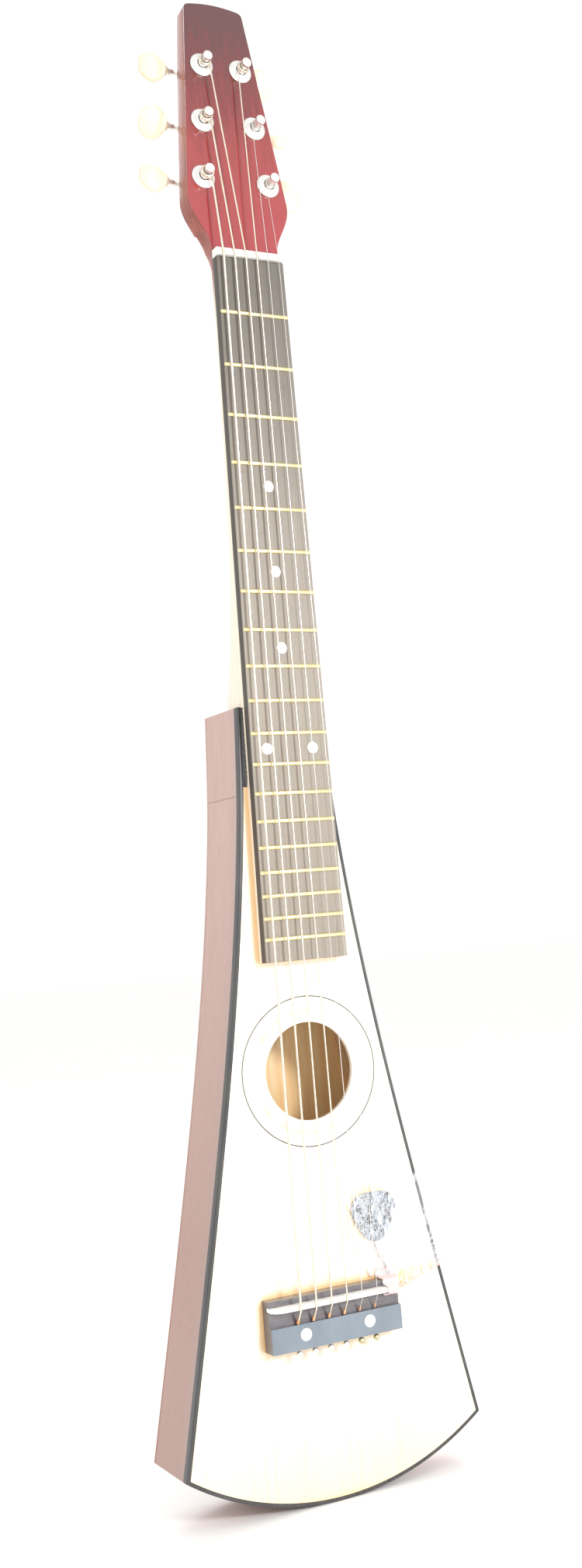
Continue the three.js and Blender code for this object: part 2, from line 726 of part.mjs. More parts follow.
// one side's tuners: a frame in the headstock for each, and the plate that they share
function addTuners(side, head) {
  const frameAt = ({ across, along }) => {
    const frame = new THREE.Group();
    frame.position.set(side * across, 0, along);
    frame.rotation.y = side > 0 ? -ROW_TILT : Math.PI + ROW_TILT;
    head.add(frame);
    return frame;
  };
  add(side > 0 ? 'treble_tuner_plate' : 'bass_tuner_plate', tunerPlate(side), nickel, frameAt(TUNERS[1]));
  STRINGS.filter((string) => string.side === side).forEach(({ name, tuner, turn }) => {
    const frame = frameAt(TUNERS[tuner]);
    add(`bushing_${name}`, bushing(), nickel, frame);
    add(`post_${name}`, stringPost(), nickel, frame);
    add(`gear_${name}`, gear(), brass, frame);
    const key = new THREE.Group();
    key.position.set(0, WORM_DEPTH, side * WORM_OFFSET);
    frame.add(key);
    add(`worm_${name}`, wormShaft(), nickel, key);
    add(`button_${name}`, button(), cream, key).rotation.x = THREE.MathUtils.degToRad(turn);
  });
}

const headstock = new THREE.Group();
headstock.position.y = HEAD_DROP;
headstock.rotation.x = -HEAD_TILT;
guitar.add(headstock);

addBody();
addNeck(headstock);
addBridge();
addTuners(-1, headstock);
addTuners(1, headstock);
STRINGS.forEach((string, i) => add(`string_${string.name}`, guitarString(string, i), steel));
add('pick', pick(), pearl);
add('pick_bag', pickBag(), film);

export default guitar;
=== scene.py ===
"""Looks for the flared travel guitar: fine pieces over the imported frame, finishes, camera and light."""

import math

import bmesh
import bpy
import numpy as np
from mathutils import Matrix, Vector
from mathutils.geometry import tessellate_polygon


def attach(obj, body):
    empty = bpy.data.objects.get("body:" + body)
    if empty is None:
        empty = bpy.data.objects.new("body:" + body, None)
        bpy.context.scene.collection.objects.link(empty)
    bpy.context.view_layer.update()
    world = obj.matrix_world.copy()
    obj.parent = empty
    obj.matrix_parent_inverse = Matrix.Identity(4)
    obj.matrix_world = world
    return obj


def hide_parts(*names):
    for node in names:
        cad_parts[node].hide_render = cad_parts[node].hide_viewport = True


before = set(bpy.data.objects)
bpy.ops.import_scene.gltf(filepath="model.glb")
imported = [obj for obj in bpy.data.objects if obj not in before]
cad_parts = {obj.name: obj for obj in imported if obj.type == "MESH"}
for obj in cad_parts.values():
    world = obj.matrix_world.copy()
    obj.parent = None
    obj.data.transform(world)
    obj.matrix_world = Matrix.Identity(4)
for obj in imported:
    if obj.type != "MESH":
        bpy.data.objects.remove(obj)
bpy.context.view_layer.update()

# ------------ dimensions, in millimetres

MM = 0.001
SCALE = 610
FRETS = 19
NUT_HALF = 22.2
BOARD_FLARE = 6.5
BOARD_END = 419.5
BOARD_THICK = 6
DOTS = [(0, 139.4), (0, 190.8), (0, 236.5), (-15, 296), (15, 296)]  # across, along
DOT_RADIUS = 3.4

FRONT, BACK = 9.2, 56.8
SHOULDER, CORNER, TAIL = 270, 696.6, 726.5
FLANK = [  # along, half width
    (SHOULDER, 27.7), (330, 31.2), (390, 37.8), (450, 46.7), (510, 57.4), (590, 73.3), (CORNER, 95.5),
]
FLANK_STEPS, TAIL_STEPS = 72, 64
TOP_THICK, BACK_THICK, SIDE_THICK = 2.8, 2.8, 2.3
BINDING_WIDE, BINDING_DEEP = 2.2, 5
LEDGE_END, SEAM_AT = 318, 322
HOLE_AT, HOLE_RADIUS = 484, 28.3
RIM_OUTER, BAND_RADII, LINE_RADII = 30.2, (34, 36.4), (42.9, 43.6)
GLUE = 0.1

BRIDGE_HALF, BLOCK_FRONT, BRIDGE_REAR, BLOCK_Y = 42, 622.5, 636.5, -1
SADDLE_AT = 612.5
BOLT_HALF, BOLT_AT, BOLT_RADIUS = 20.7, 628.5, 3.5
STRING_HOLE_Y = 0.4
BALL_RADIUS = 1.9

HEAD_TILT = math.radians(6)
HEAD_DROP, HEAD_THICK, VENEER = 5, 13.5, 1.2
NUT_THICK = 5.2
NECK_TOP, NECK_DEEP, HEEL_GROW, HEEL_START = 6.1, 13.8, 36.2, 110
BLOCK_END = 318

TUNERS = [(53.2, 21.7), (91.4, 17.4), (129.6, 13.1)]  # along, across
ROW_RUN, ROW_DROP = TUNERS[2][0] - TUNERS[0][0], TUNERS[0][1] - TUNERS[2][1]
ROW_TILT = math.atan2(ROW_DROP, ROW_RUN)
ROW_PITCH = ROW_RUN / 2 / math.cos(ROW_TILT)
TUNER_BORE = 4.7
STRINGS = [  # name, diameter, side, tuner, turn of its button, wound
    ("low_e", 1.42, -1, 0, 14, True),
    ("a", 1.26, -1, 1, -30, True),
    ("d", 1.1, -1, 2, 5, True),
    ("g", 0.95, 1, 2, 20, True),
    ("b", 0.46, 1, 1, -50, False),
    ("high_e", 0.36, 1, 0, 10, False),
]
NUT_SPACING, SADDLE_SPACING = 7.4, 10
STRING_Y_NUT, STRING_Y_SADDLE = -1.7, -4.7
POST_RADIUS, POST_WAIST, POST_TIP = 3, 2.5, -11.5
WRAP_START, WRAP_TURNS = -3.9, 2.2
PLATE_NEAR, PLATE_FAR = 13.6, 14.8
JOURNAL_RADIUS, BUSHING_FLANGE = 1.3, 7.6
GEAR_TEETH, GEAR_ROOT, GEAR_TIP, GEAR_NEAR, GEAR_FAR = 14, 2.5, 3.15, 18.5, 21.5
WORM_DEPTH, WORM_OFFSET = 20, 4.8
WORM_HALF, WORM_PITCH, WORM_CORE, THREAD_DEEP = 4.4, 1.6, 1.02, 0.46
LUG_AT, SHAFT_RADIUS, BUTTON_AT, BUTTON_NECK = 6, 1.2, 24.1, 9.2

PICK_X, PICK_AT, PICK_HALF, PICK_Y, PICK_THICK = 34, 571, 14.5, 7.4, 0.8
BAG_TOP = (3, -552), (67, -551)
BAG_NEAR, BAG_FAR, BAG_LOW = 28, 95, 606.6
MOUTH_X, MOUTH_AT, MOUTH_SLOPE = 43, 617.6, 0.32

HEAD = Matrix.Translation((0, HEAD_DROP, 0)) @ Matrix.Rotation(-HEAD_TILT, 4, "X")

# ------------ paths


def spline(points, steps):
    """A uniform Catmull-Rom curve through points, in that many steps."""
    p = np.array(points, float)
    padded = np.vstack([p[:1], p, p[-1:]])
    t = np.linspace(0, len(p) - 1, steps + 1)
    i = np.minimum(t.astype(int), len(p) - 2)
    f = (t - i)[:, None]
    a, b, c, d = (padded[i + k] for k in range(4))
    v, w = (c - a) / 2, (d - b) / 2
    return (2 * b - 2 * c + v + w) * f**3 + (3 * c - 3 * b - 2 * v - w) * f**2 + v * f + b


def bezier(points, steps=14):
    """A quadratic or cubic curve, without its first point."""
    t = np.linspace(0, 1, steps + 1)[1:, None]
    p = [np.array(q, float) for q in points]
    while len(p) > 1:
        p = [a + (b - a) * t for a, b in zip(p, p[1:])]
    return p[0]


def circle(x, z, radius, sides=48):
    """A closed round path."""
    a = np.linspace(0, 2 * math.pi, sides, endpoint=False)
    return np.c_[x + radius * np.cos(a), z + radius * np.sin(a)]


def soften(path, radius, closed=True, steps=5):
    """The path with each corner rounded."""
    p = [np.array(q, float) for q in path]
    out = []
    for i, here in enumerate(p):
        if not closed and i in (0, len(p) - 1):
            out.append(here)
            continue
        arms = [p[i - 1] - here, p[(i + 1) % len(p)] - here]
        ends = [here + a * min(0.48, radius / np.linalg.norm(a)) for a in arms]
        for t in np.linspace(0, 1, steps + 1):
            out.append((1 - t) ** 2 * ends[0] + 2 * t * (1 - t) * here + t * t * ends[1])
    return np.array(out)


def rectangle(x1, x2, z1, z2):
    return [(x1, z1), (x2, z1), (x2, z2), (x1, z2)]


def flattened(values, power):
    """Each value raised to a power, its sign kept."""
    return np.sign(values) * np.abs(values) ** power


def wound_clockwise(path, clockwise=True):
    """The path, turned round if it runs the other way."""
    x, z = path[:, 0], path[:, 1]
    area = (x * np.roll(z, -1) - z * np.roll(x, -1)).sum()
    return path if (area < 0) == clockwise else path[::-1]


def inset(path, wall):
    """A closed clockwise path moved inward."""
    before, after = path - np.roll(path, 1, 0), np.roll(path, -1, 0) - path
    a, b = (d / np.linalg.norm(d, axis=1)[:, None] for d in (before, after))
    na, nb = (np.c_[d[:, 1], -d[:, 0]] for d in (a, b))
    middle = na + nb
    middle /= np.linalg.norm(middle, axis=1)[:, None]
    return path + middle * (wall / (middle * na).sum(1))[:, None]


def body_outline():
    """Clockwise from the treble shoulder round the tail to the bass shoulder."""
    flank = spline([(half, -along) for along, half in FLANK], FLANK_STEPS)
    half, rise = FLANK[-1][1], TAIL - CORNER
    radius = (half**2 + rise**2) / (2 * rise)
    sweep = math.asin(half / radius)
    a = np.linspace(sweep, -sweep, TAIL_STEPS + 1)[1:-1]
    tail = np.c_[radius * np.sin(a), radius - TAIL - radius * np.cos(a)]
    return np.vstack([flank, tail, flank[::-1] * (-1, 1)])


OUTLINE = body_outline()


def wall_outline(depth):
    """The body outline moved inward, its shoulder kept in place."""
    moved = inset(OUTLINE, depth)
    moved[[0, -1], 1] = -SHOULDER
    return moved


def board_half(along):
    """Half the fretboard's width at a distance from the nut."""
    return NUT_HALF + BOARD_FLARE * along / SCALE


def fret_at(n):
    """A fret's distance from the nut, by the twelfth root of two."""
    return SCALE * (1 - 2 ** (-n / 12))


def head_side():
    """The treble edge of the headstock in its own plane, from the nut to the middle of the tip."""
    return np.vstack([
        [(20.6, -2), (22.3, 8)],
        bezier([(22.3, 8), (22.6, 19), (32.6, 27), (33.4, 39)], 24),
        bezier([(33.4, 39), (33.6, 42.5), (32.9, 47)], 6),
        bezier([(19.9, 168.5), (19.5, 171), (16.5, 171.7)], 8),
        bezier([(16.5, 171.7), (8.5, 173.3), (0, 173.4)], 10),
    ])


HEAD_SIDE = head_side()


def head_outline(start):
    """The headstock's closed outline from a distance above the nut to the tip."""
    kept = HEAD_SIDE[HEAD_SIDE[:, 1] > start]
    first = (np.interp(start, HEAD_SIDE[:, 1], HEAD_SIDE[:, 0]), start)
    right = np.vstack([[first], kept])
    return np.vstack([right, right[-2::-1] * (-1, 1)])


# ------------ solids


class Solid:
    """Vertices and faces in millimetres, on their way to one mesh."""

    def __init__(self):
        self.points, self.faces, self.smooth = [], [], []

    def add(self, points):
        first = len(self.points)
        self.points.extend(tuple(p) for p in points)
        return list(range(first, len(self.points)))

    def face(self, corners, smooth=True):
        self.faces.append(corners)
        self.smooth.append(smooth)

    def skin(self, rings, closed=True, around=True):
        """Quads between matching rings; closed joins a ring's ends, and around the last ring to the first."""
        ids = [self.add(r) for r in rings]
        n = len(ids[0])
        pairs = zip(ids, ids[1:] + ids[:1]) if around else zip(ids, ids[1:])
        for a, b in pairs:
            for i in range(n if closed else n - 1):
                j = (i + 1) % n
                self.face([a[i], a[j], b[j], b[i]])
        return ids

    def cap(self, *loops):
        """A flat face over the first loop of vertex numbers, the others being holes in it."""
        flat = [[Vector(self.points[i]) for i in loop] for loop in loops]
        ids = [i for loop in loops for i in loop]
        for corners in tessellate_polygon(flat):
            self.face([ids[i] for i in corners], smooth=False)

    def merge(self, other, place=None):
        shift = len(self.points)
        place = place or Matrix.Identity(4)
        self.points.extend(tuple(place @ Vector(p)) for p in other.points)
        self.faces.extend([i + shift for i in f] for f in other.faces)
        self.smooth.extend(other.smooth)
        return self


def slab(outline, y1, y2, edge=0.3, holes=(), steps=3):
    """A plate in x and z with rounded edges."""
    solid = Solid()
    arc = np.linspace(0, math.pi / 2, steps + 1)
    profile = [(edge * (1 - math.sin(a)), y1 + edge * (1 - math.cos(a))) for a in arc]
    profile += [(d, y1 + y2 - y) for d, y in reversed(profile)]
    loops = []
    for i, path in enumerate([outline, *holes]):
        path = wound_clockwise(np.array(path, float), clockwise=i == 0)
        rings = [[(x, y, z) for x, z in inset(path, d)] for d, y in profile]
        ids = solid.skin(rings, around=False)
        loops.append((ids[0], ids[-1]))
    solid.cap(*[a for a, _ in loops])
    solid.cap(*[b for _, b in loops])
    return solid


def turned(profile, sides=32, closed=False):
    """A profile of (radius, y) turned about y; closed for one that doesn't reach the axis."""
    a = np.linspace(0, 2 * math.pi, sides, endpoint=False)
    rings = [[(r * math.cos(t), y, r * math.sin(t)) for t in a] for r, y in profile]
    solid = Solid()
    solid.skin(rings, around=closed)
    return solid


def loft(rings):
    """A skin over rings in a row, closed by a flat cap at each end."""
    solid = Solid()
    ids = solid.skin(rings, around=False)
    solid.cap(ids[0])
    solid.cap(ids[-1])
    return solid


def tube(points, radius, sides=10):
    """A round wire along a path."""
    p = np.array(points, float)
    tangents = np.gradient(p, axis=0)
    tangents /= np.linalg.norm(tangents, axis=1)[:, None]
    across = np.cross(tangents[0], (1, 0.3, 0.2))
    angles = np.linspace(0, 2 * math.pi, sides, endpoint=False)
    rings = []
    for here, t in zip(p, tangents):
        across = across - t * (across @ t)
        across /= np.linalg.norm(across)
        other = np.cross(t, across)
        rings.append([here + radius * (across * math.cos(a) + other * math.sin(a)) for a in angles])
    return loft(rings)


def ball(centre, radius, sides=20, steps=12):
    """A sphere from rings about y."""
    a = np.linspace(0, math.pi, steps + 1)
    solid = turned([(radius * math.sin(t), radius * math.cos(t)) for t in a], sides)
    return Solid().merge(solid, Matrix.Translation(centre))


def piece(name, solid, finish, body="root", stands_for=(), place=None, sharp=42):
    """One mesh object that rides on a body, in place in the row frame."""
    place = place or Matrix.Identity(4)
    mesh = bpy.data.meshes.new(name)
    mesh.from_pydata([tuple((place @ Vector(p)) * MM) for p in solid.points], [], solid.faces)
    mesh.polygons.foreach_set("use_smooth", solid.smooth)
    bm = bmesh.new()
    bm.from_mesh(mesh)
    bmesh.ops.remove_doubles(bm, verts=bm.verts, dist=1e-7)
    bmesh.ops.recalc_face_normals(bm, faces=bm.faces)
    for edge in bm.edges:
        edge.smooth = len(edge.link_faces) == 2 and edge.calc_face_angle() < math.radians(sharp)
    bm.to_mesh(mesh)
    bm.free()
    obj = bpy.data.objects.new(name, mesh)
    bpy.context.scene.collection.objects.link(obj)
    wear(obj, finish)
    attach(obj, body)
    if stands_for:
        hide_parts(*stands_for)
    return obj


def wear(obj, finish):
    """Gives an object a finish's material; the finish's slot is not used."""
    material, slot = finish
    obj.data.materials.clear()
    obj.data.materials.append(material)


def dress(node, finish, edge=0):
    """A CAD node shown as it is, with its edges eased."""
    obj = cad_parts[node]
    wear(obj, finish)
    if edge:
        weld = obj.modifiers.new("weld", "WELD")
        weld.merge_threshold = 1e-5
        bevel = obj.modifiers.new("bevel", "BEVEL")
        bevel.width, bevel.segments = edge * MM, 3
        bevel.limit_method, bevel.angle_limit = "ANGLE", math.radians(35)
        bevel.harden_normals = False
        normals = obj.modifiers.new("normals", "WEIGHTED_NORMAL")
        normals.keep_sharp = False
    return obj


# ------------ camera


def camera():
    """Fitted to the frets, the nut, the saddle and the body's outline; in metres."""
    place = (-0.44, -0.8437, -0.3941)
    data = bpy.data.cameras.new("camera")
    data.sensor_fit, data.sensor_width, data.lens = "AUTO", 36, 37.487
    data.clip_start, data.clip_end = 0.01, 100
    forward = Vector((0.45976, 0.88437, 0.08071)).normalized()
    up = Vector((0.03541, -0.10907, 0.9934))
    right = forward.cross(up).normalized()
    turn = Matrix((right, right.cross(forward), -forward)).transposed()
    obj = bpy.data.objects.new("camera", data)
    obj.matrix_world = Matrix.Translation(place) @ turn.to_4x4()
    bpy.context.scene.collection.objects.link(obj)
    bpy.context.scene.camera = obj


camera()

# ------------ finishes


class Paint:
    """Builds one material round its Principled shader."""

    def __init__(self, name, **values):
        self.material = bpy.data.materials.new(name)
        self.material.use_nodes = True
        self.tree = self.material.node_tree
        self.shader = self.tree.nodes["Principled BSDF"]
        self.set(**values)

    def set(self, **values):
        """Constants or sockets for the shader's inputs, base_color for Base Color and so on."""
        names = {s.name.lower().replace(" ", "_"): s for s in self.shader.inputs}
        for key, value in values.items():
            self.feed(names[key], value)
        return self

    @property
    def tone(self):
        """The socket that gives the base colour so far."""
        return self.shader.inputs["Base Color"].links[0].from_socket

    def feed(self, socket, value):
        """Links a socket's value, or sets a plain one."""
        if isinstance(value, bpy.types.NodeSocket):
            self.tree.links.new(value, socket)
        elif socket.type == "RGBA" and len(value) == 3:
            socket.default_value = (*value, 1)
        else:
            socket.default_value = value

    def node(self, kind, inputs=(), **settings):
        """A new shader node with its inputs fed."""
        node = self.tree.nodes.new("ShaderNode" + kind)
        for key, value in settings.items():
            setattr(node, key, value)
        for key, value in dict(inputs).items():
            self.feed(node.inputs[key], value)
        return node

    def coords(self, scale=(1, 1, 1)):
        """Object coordinates in metres, scaled."""
        if "coords" not in self.tree.nodes:
            self.node("TexCoord").name = "coords"
        source = self.tree.nodes["coords"].outputs["Object"]
        return self.node("Mapping", {"Vector": source, "Scale": scale}).outputs["Vector"]

    def noise(self, scale, detail=3, roughness=0.55, distortion=0):
        """Noise with its features so many to the metre along each axis."""
        inputs = {"Vector": self.coords(scale), "Scale": 1, "Detail": detail}
        inputs |= {"Roughness": roughness, "Distortion": distortion}
        return self.node("TexNoise", inputs).outputs["Fac"]

    def ramp(self, value, stops):
        """Blends through colours or greys at positions from 0 to 1."""
        node = self.node("ValToRGB", {"Fac": value})
        elements = node.color_ramp.elements
        while len(elements) < len(stops):
            elements.new(0.5)
        for element, (position, colour) in zip(elements, stops):
            element.position = position
            grey = isinstance(colour, (int, float))
            element.color = (colour, colour, colour, 1) if grey else (*colour, 1)
        return node.outputs["Color"]

    def span(self, value, low, high, to_low=0, to_high=1):
        """The value's place between low and high, from to_low to to_high."""
        inputs = {"Value": value, "From Min": low, "From Max": high}
        inputs |= {"To Min": to_low, "To Max": to_high}
        return self.node("MapRange", inputs).outputs["Result"]

    def math(self, operation, a, b=0):
        node = self.node("Math", operation=operation)
        self.feed(node.inputs[0], a)
        self.feed(node.inputs[1], b)
        return node.outputs[0]

    def mix(self, factor, a, b, blend="MIX"):
        node = self.node("MixRGB", {"Fac": factor, "Color1": a, "Color2": b}, blend_type=blend)
        return node.outputs["Color"]

    def axis(self, name):
        """One object coordinate, in metres."""
        return self.node("SeparateXYZ", {"Vector": self.coords()}).outputs[name]

    def bump(self, height, strength, distance):
        inputs = {"Height": height, "Strength": strength, "Distance": distance}
        return self.set(normal=self.node("Bump", inputs).outputs["Normal"])


def wood(name, stops, grain, run, roughness=0.4, coat=0.0, pores=0.0, relief=0.00004):
    """Wood with its grain along z: streaks grain metres wide and run metres long, and dark pores."""
    paint = Paint(name, coat_weight=coat, coat_roughness=0.06)
    streaks = paint.noise((1 / grain, 1 / grain, 1 / run), 5, 0.6, 0.3)
    cloud = paint.noise((14, 14, 4), 2)
    tone = paint.math("ADD", paint.math("MULTIPLY", streaks, 0.72), paint.math("MULTIPLY", cloud, 0.28))
    colour = paint.ramp(tone, stops)
    height = streaks
    if pores:
        dashes = paint.noise((2600, 2600, 110), 1)
        marks = paint.span(dashes, 0.36, 0.3)
        dark = [c * 0.45 for c in stops[0][1]]
        colour = paint.mix(paint.math("MULTIPLY", marks, pores), colour, dark)
        height = paint.math("SUBTRACT", streaks, marks)
    paint.set(base_color=colour, roughness=paint.span(streaks, 0.3, 0.7, roughness - 0.05, roughness + 0.07))
    paint.bump(height, 0.35, relief)
    return paint


def gloss(name, colour, roughness=0.16, cast=(0.02, 0.02, 0.02), coat=0.6):
    """A polished dark lacquer with faint clouding and hairline wear."""
    paint = Paint(name, coat_weight=coat, coat_roughness=0.08)
    cloud = paint.noise((60, 60, 25), 3)
    paint.set(base_color=paint.mix(paint.span(cloud, 0.35, 0.7), colour, cast))
    wear_lines = paint.noise((500, 500, 40), 4)
    paint.set(roughness=paint.span(wear_lines, 0.3, 0.7, roughness - 0.04, roughness + 0.08))
    paint.bump(cloud, 0.2, 0.00006)
    return paint


def ledge_black():
    """Black lacquer that dried with a rough, glinting skin."""
    paint = gloss("ledge_black", (0.02, 0.02, 0.021), 0.12, (0.05, 0.05, 0.05), 1)
    return paint.bump(paint.noise((900, 900, 420), 3, 0.7), 1, 0.0012)


def bridge_black():
    """Black, with painted reflections: pale blue-grey on the string block, darker pinkish grey on the low
    deck and the sides.
    """
    # painted reflection: the pale blue-grey given here is the string block's tone
    paint = gloss("black_bridge", (0.15, 0.185, 0.225), 0.34, (0.19, 0.225, 0.262))
    block = paint.tone
    streaks = paint.span(paint.noise((90, 700, 700), 3), 0.35, 0.7)
    # painted reflection: darker pinkish grey on the deck and sides
    deck = paint.mix(streaks, (0.1, 0.09, 0.1), (0.15, 0.135, 0.145))
    return paint.set(base_color=paint.mix(paint.span(paint.axis("Y"), -0.0004, 0.0003), block, deck))


def metal(name, colour, tarnish, roughness=0.2):
    """Polished metal with duller smears and a fine grain."""
    paint = Paint(name, metallic=1)
    smears = paint.noise((180, 180, 180), 4)
    paint.set(base_color=paint.mix(paint.span(smears, 0.45, 0.75), colour, tarnish))
    paint.set(roughness=paint.span(smears, 0.3, 0.7, roughness - 0.06, roughness + 0.1))
    paint.bump(paint.noise((1400, 1400, 1400), 2), 0.12, 0.00002)
    return paint


def solid_colour(name, colour, shade, roughness, coat=0.2, scale=120):
    """A moulded or carved material with soft clouds of a second tone."""
    paint = Paint(name, coat_weight=coat, coat_roughness=0.1, subsurface_weight=0.08)
    paint.set(subsurface_radius=(0.002, 0.0012, 0.0008))
    cloud = paint.noise((scale, scale, scale * 0.5), 3)
    paint.set(base_color=paint.mix(paint.span(cloud, 0.35, 0.7), colour, shade))
    paint.set(roughness=paint.span(cloud, 0.3, 0.7, roughness - 0.04, roughness + 0.06))
    paint.bump(cloud, 0.15, 0.00005)
    return paint


def spruce():
    """Pale straight grain, with painted shade: deeper and golden towards the tail, amber in its creases, and
    an amber painted shadow beside the plectrum.
    """
    stops = [(0.3, (0.86, 0.74, 0.56)), (0.46, (0.9, 0.81, 0.66)), (0.7, (0.92, 0.85, 0.73))]
    paint = wood("spruce_top", stops, 0.0011, 0.22, 0.3, 0.5)
    pale = paint.tone
    # painted shade: the spruce turned deeper and golden towards the tail
    tail_shade = paint.mix(1, pale, (1, 0.86, 0.72), "MULTIPLY")
    low = paint.span(paint.axis("Z"), -0.64, -TAIL * MM)
    face = paint.mix(low, pale, tail_shade)
    # painted shade: amber where the occlusion node finds creases, beside the fretboard and on the lower half
    amber = paint.mix(1, pale, (1, 0.66, 0.3), "MULTIPLY")
    shade = paint.node("AmbientOcclusion", {"Distance": 0.007}, samples=8).outputs["AO"]
    crease = paint.span(shade, 0.92, 0.55, 0, 0.9)
    x, z = paint.axis("X"), paint.axis("Z")  # no painted amber shade under the bag, whose near edge slants
    from_bag_edge = paint.math("ADD", x, paint.math("MULTIPLY", z, 0.456))
    past_bag_edge = paint.span(from_bag_edge, -0.2555, -0.2515)
    above_bridge = paint.span(z, -0.607, -0.603)
    clear = paint.math("SUBTRACT", 1, paint.math("MULTIPLY", past_bag_edge, above_bridge))
    beside_board = paint.math("GREATER_THAN", z, -0.42)
    low_half = paint.math("MULTIPLY", clear, paint.math("LESS_THAN", z, -0.545))
    crease = paint.math("MULTIPLY", crease, paint.math("ADD", beside_board, low_half))
    # painted shadow of the plectrum: amber on the spruce beside it
    pick_shadow_spot = ((PICK_X - 3) * MM, FRONT * MM, (2 - PICK_AT) * MM)
    from_pick_shadow = paint.node("VectorMath", {0: paint.coords(), 1: pick_shadow_spot}, operation="DISTANCE").outputs["Value"]
    crease = paint.math("MAXIMUM", crease, paint.span(from_pick_shadow, 0.0185, 0.014, 0, 0.6))
    return paint.set(base_color=paint.mix(crease, face, amber))


def mahogany(name="mahogany_gloss", seam_depth=0.6):
    """Red-brown gloss with painted shade deepening it towards the tail, greyer along its front edge, with a
    joint across it.
    """
    stops = [(0.28, (0.45, 0.27, 0.22)), (0.5, (0.51, 0.315, 0.26)), (0.72, (0.56, 0.35, 0.295))]
    paint = wood(name, stops, 0.003, 0.09, 0.26, 0.7, pores=0.2)
    # painted shade: darker towards the tail
    low = paint.span(paint.axis("Z"), -0.33, -TAIL * MM, 0, 0.85)
    shaded = paint.mix(low, paint.tone, (0.25, 0.09, 0.048))
    edge = paint.span(paint.axis("Y"), 0.026, 0.01, 0, 0.4)
    shaded = paint.mix(edge, shaded, (0.29, 0.235, 0.23))
    from_seam = paint.math("ABSOLUTE", paint.math("ADD", paint.axis("Z"), SEAM_AT * MM))
    seam = paint.span(from_seam, 0.0006, 0.0001, 0, seam_depth)
    return paint.set(base_color=paint.mix(seam, shaded, (0.12, 0.05, 0.035)))


def back_mahogany():
    """Mahogany outside, pale and dry inside the box."""
    paint = mahogany("mahogany_back", 0)
    outside = paint.tone
    streaks = paint.noise((260, 260, 12), 4)
    inside = paint.ramp(streaks, [(0.3, (1.0, 0.63, 0.3)), (0.7, (1.0, 0.78, 0.44))])
    inner = paint.math("LESS_THAN", paint.axis("Y"), (BACK - BACK_THICK + 0.2) * MM)
    return paint.set(base_color=paint.mix(inner, outside, inside))


def neck_wood():
    """Pale satin wood stained cherry over the headstock, the stain fading out below the nut."""
    stops = [(0.3, (0.78, 0.65, 0.48)), (0.5, (0.87, 0.77, 0.61)), (0.72, (0.92, 0.84, 0.71))]
    paint = wood("neck_maple", stops, 0.004, 0.12, 0.32, 0.4)
    pale = paint.tone
    cherry = paint.ramp(paint.noise((300, 300, 9), 4), [(0.3, (0.2, 0.035, 0.02)), (0.75, (0.4, 0.1, 0.06))])
    fade = paint.node("MapRange", interpolation_type="SMOOTHERSTEP")
    for key, value in (("Value", paint.axis("Z")), ("From Min", -0.045), ("From Max", 0.006)):
        paint.feed(fade.inputs[key], value)
    return paint.set(base_color=paint.mix(fade.outputs["Result"], pale, cherry))


def cherry_face():
    """The headstock veneer: dark at the tip and clear red above the nut, under deep gloss."""
    paint = Paint("cherry_face", coat_weight=1, coat_roughness=0.04)
    streaks = paint.noise((420, 420, 7), 4)
    height = paint.span(paint.axis("Z"), 0.0, 0.165)
    tone = paint.math("ADD", height, paint.span(streaks, 0.3, 0.7, -0.1, 0.1))
    stops = [
        (0.0, (0.325, 0.034, 0.04)), (0.4, (0.28, 0.032, 0.032)),
        (0.68, (0.158, 0.017, 0.019)), (0.95, (0.084, 0.019, 0.02)),
    ]
    paint.set(base_color=paint.ramp(tone, stops), roughness=0.14)
    return paint.bump(streaks, 0.2, 0.00003)


def dark_board():
    """Dark open-pored wood with painted light: a painted reflection paling its body end, painted shade
    darkening it near the nut, and near black on its sides as painted shade.
    """
    stops = [(0.3, (0.12, 0.102, 0.08)), (0.5, (0.19, 0.165, 0.135)), (0.75, (0.28, 0.245, 0.205))]
    paint = wood("dark_board", stops, 0.0013, 0.12, 0.5, 0, pores=0.5)
    tone = paint.tone
    # painted reflection: paler towards the body end
    body_end_sheen = paint.span(paint.axis("Z"), -0.06, -0.26, 0, 0.2)
    # painted shade: darker near the nut
    nut_end_shade = paint.span(paint.axis("Z"), -0.16, -0.02, 0, 0.55)
    face = paint.mix(nut_end_shade, paint.mix(body_end_sheen, tone, (0.62, 0.54, 0.44)), (0.06, 0.05, 0.04))
    # painted shade: the board's sides near black
    edge = paint.mix(0.85, tone, (0.045, 0.036, 0.03))
    return paint.set(base_color=paint.mix(paint.span(paint.axis("Y"), 0.0002, 0.0006), face, edge))


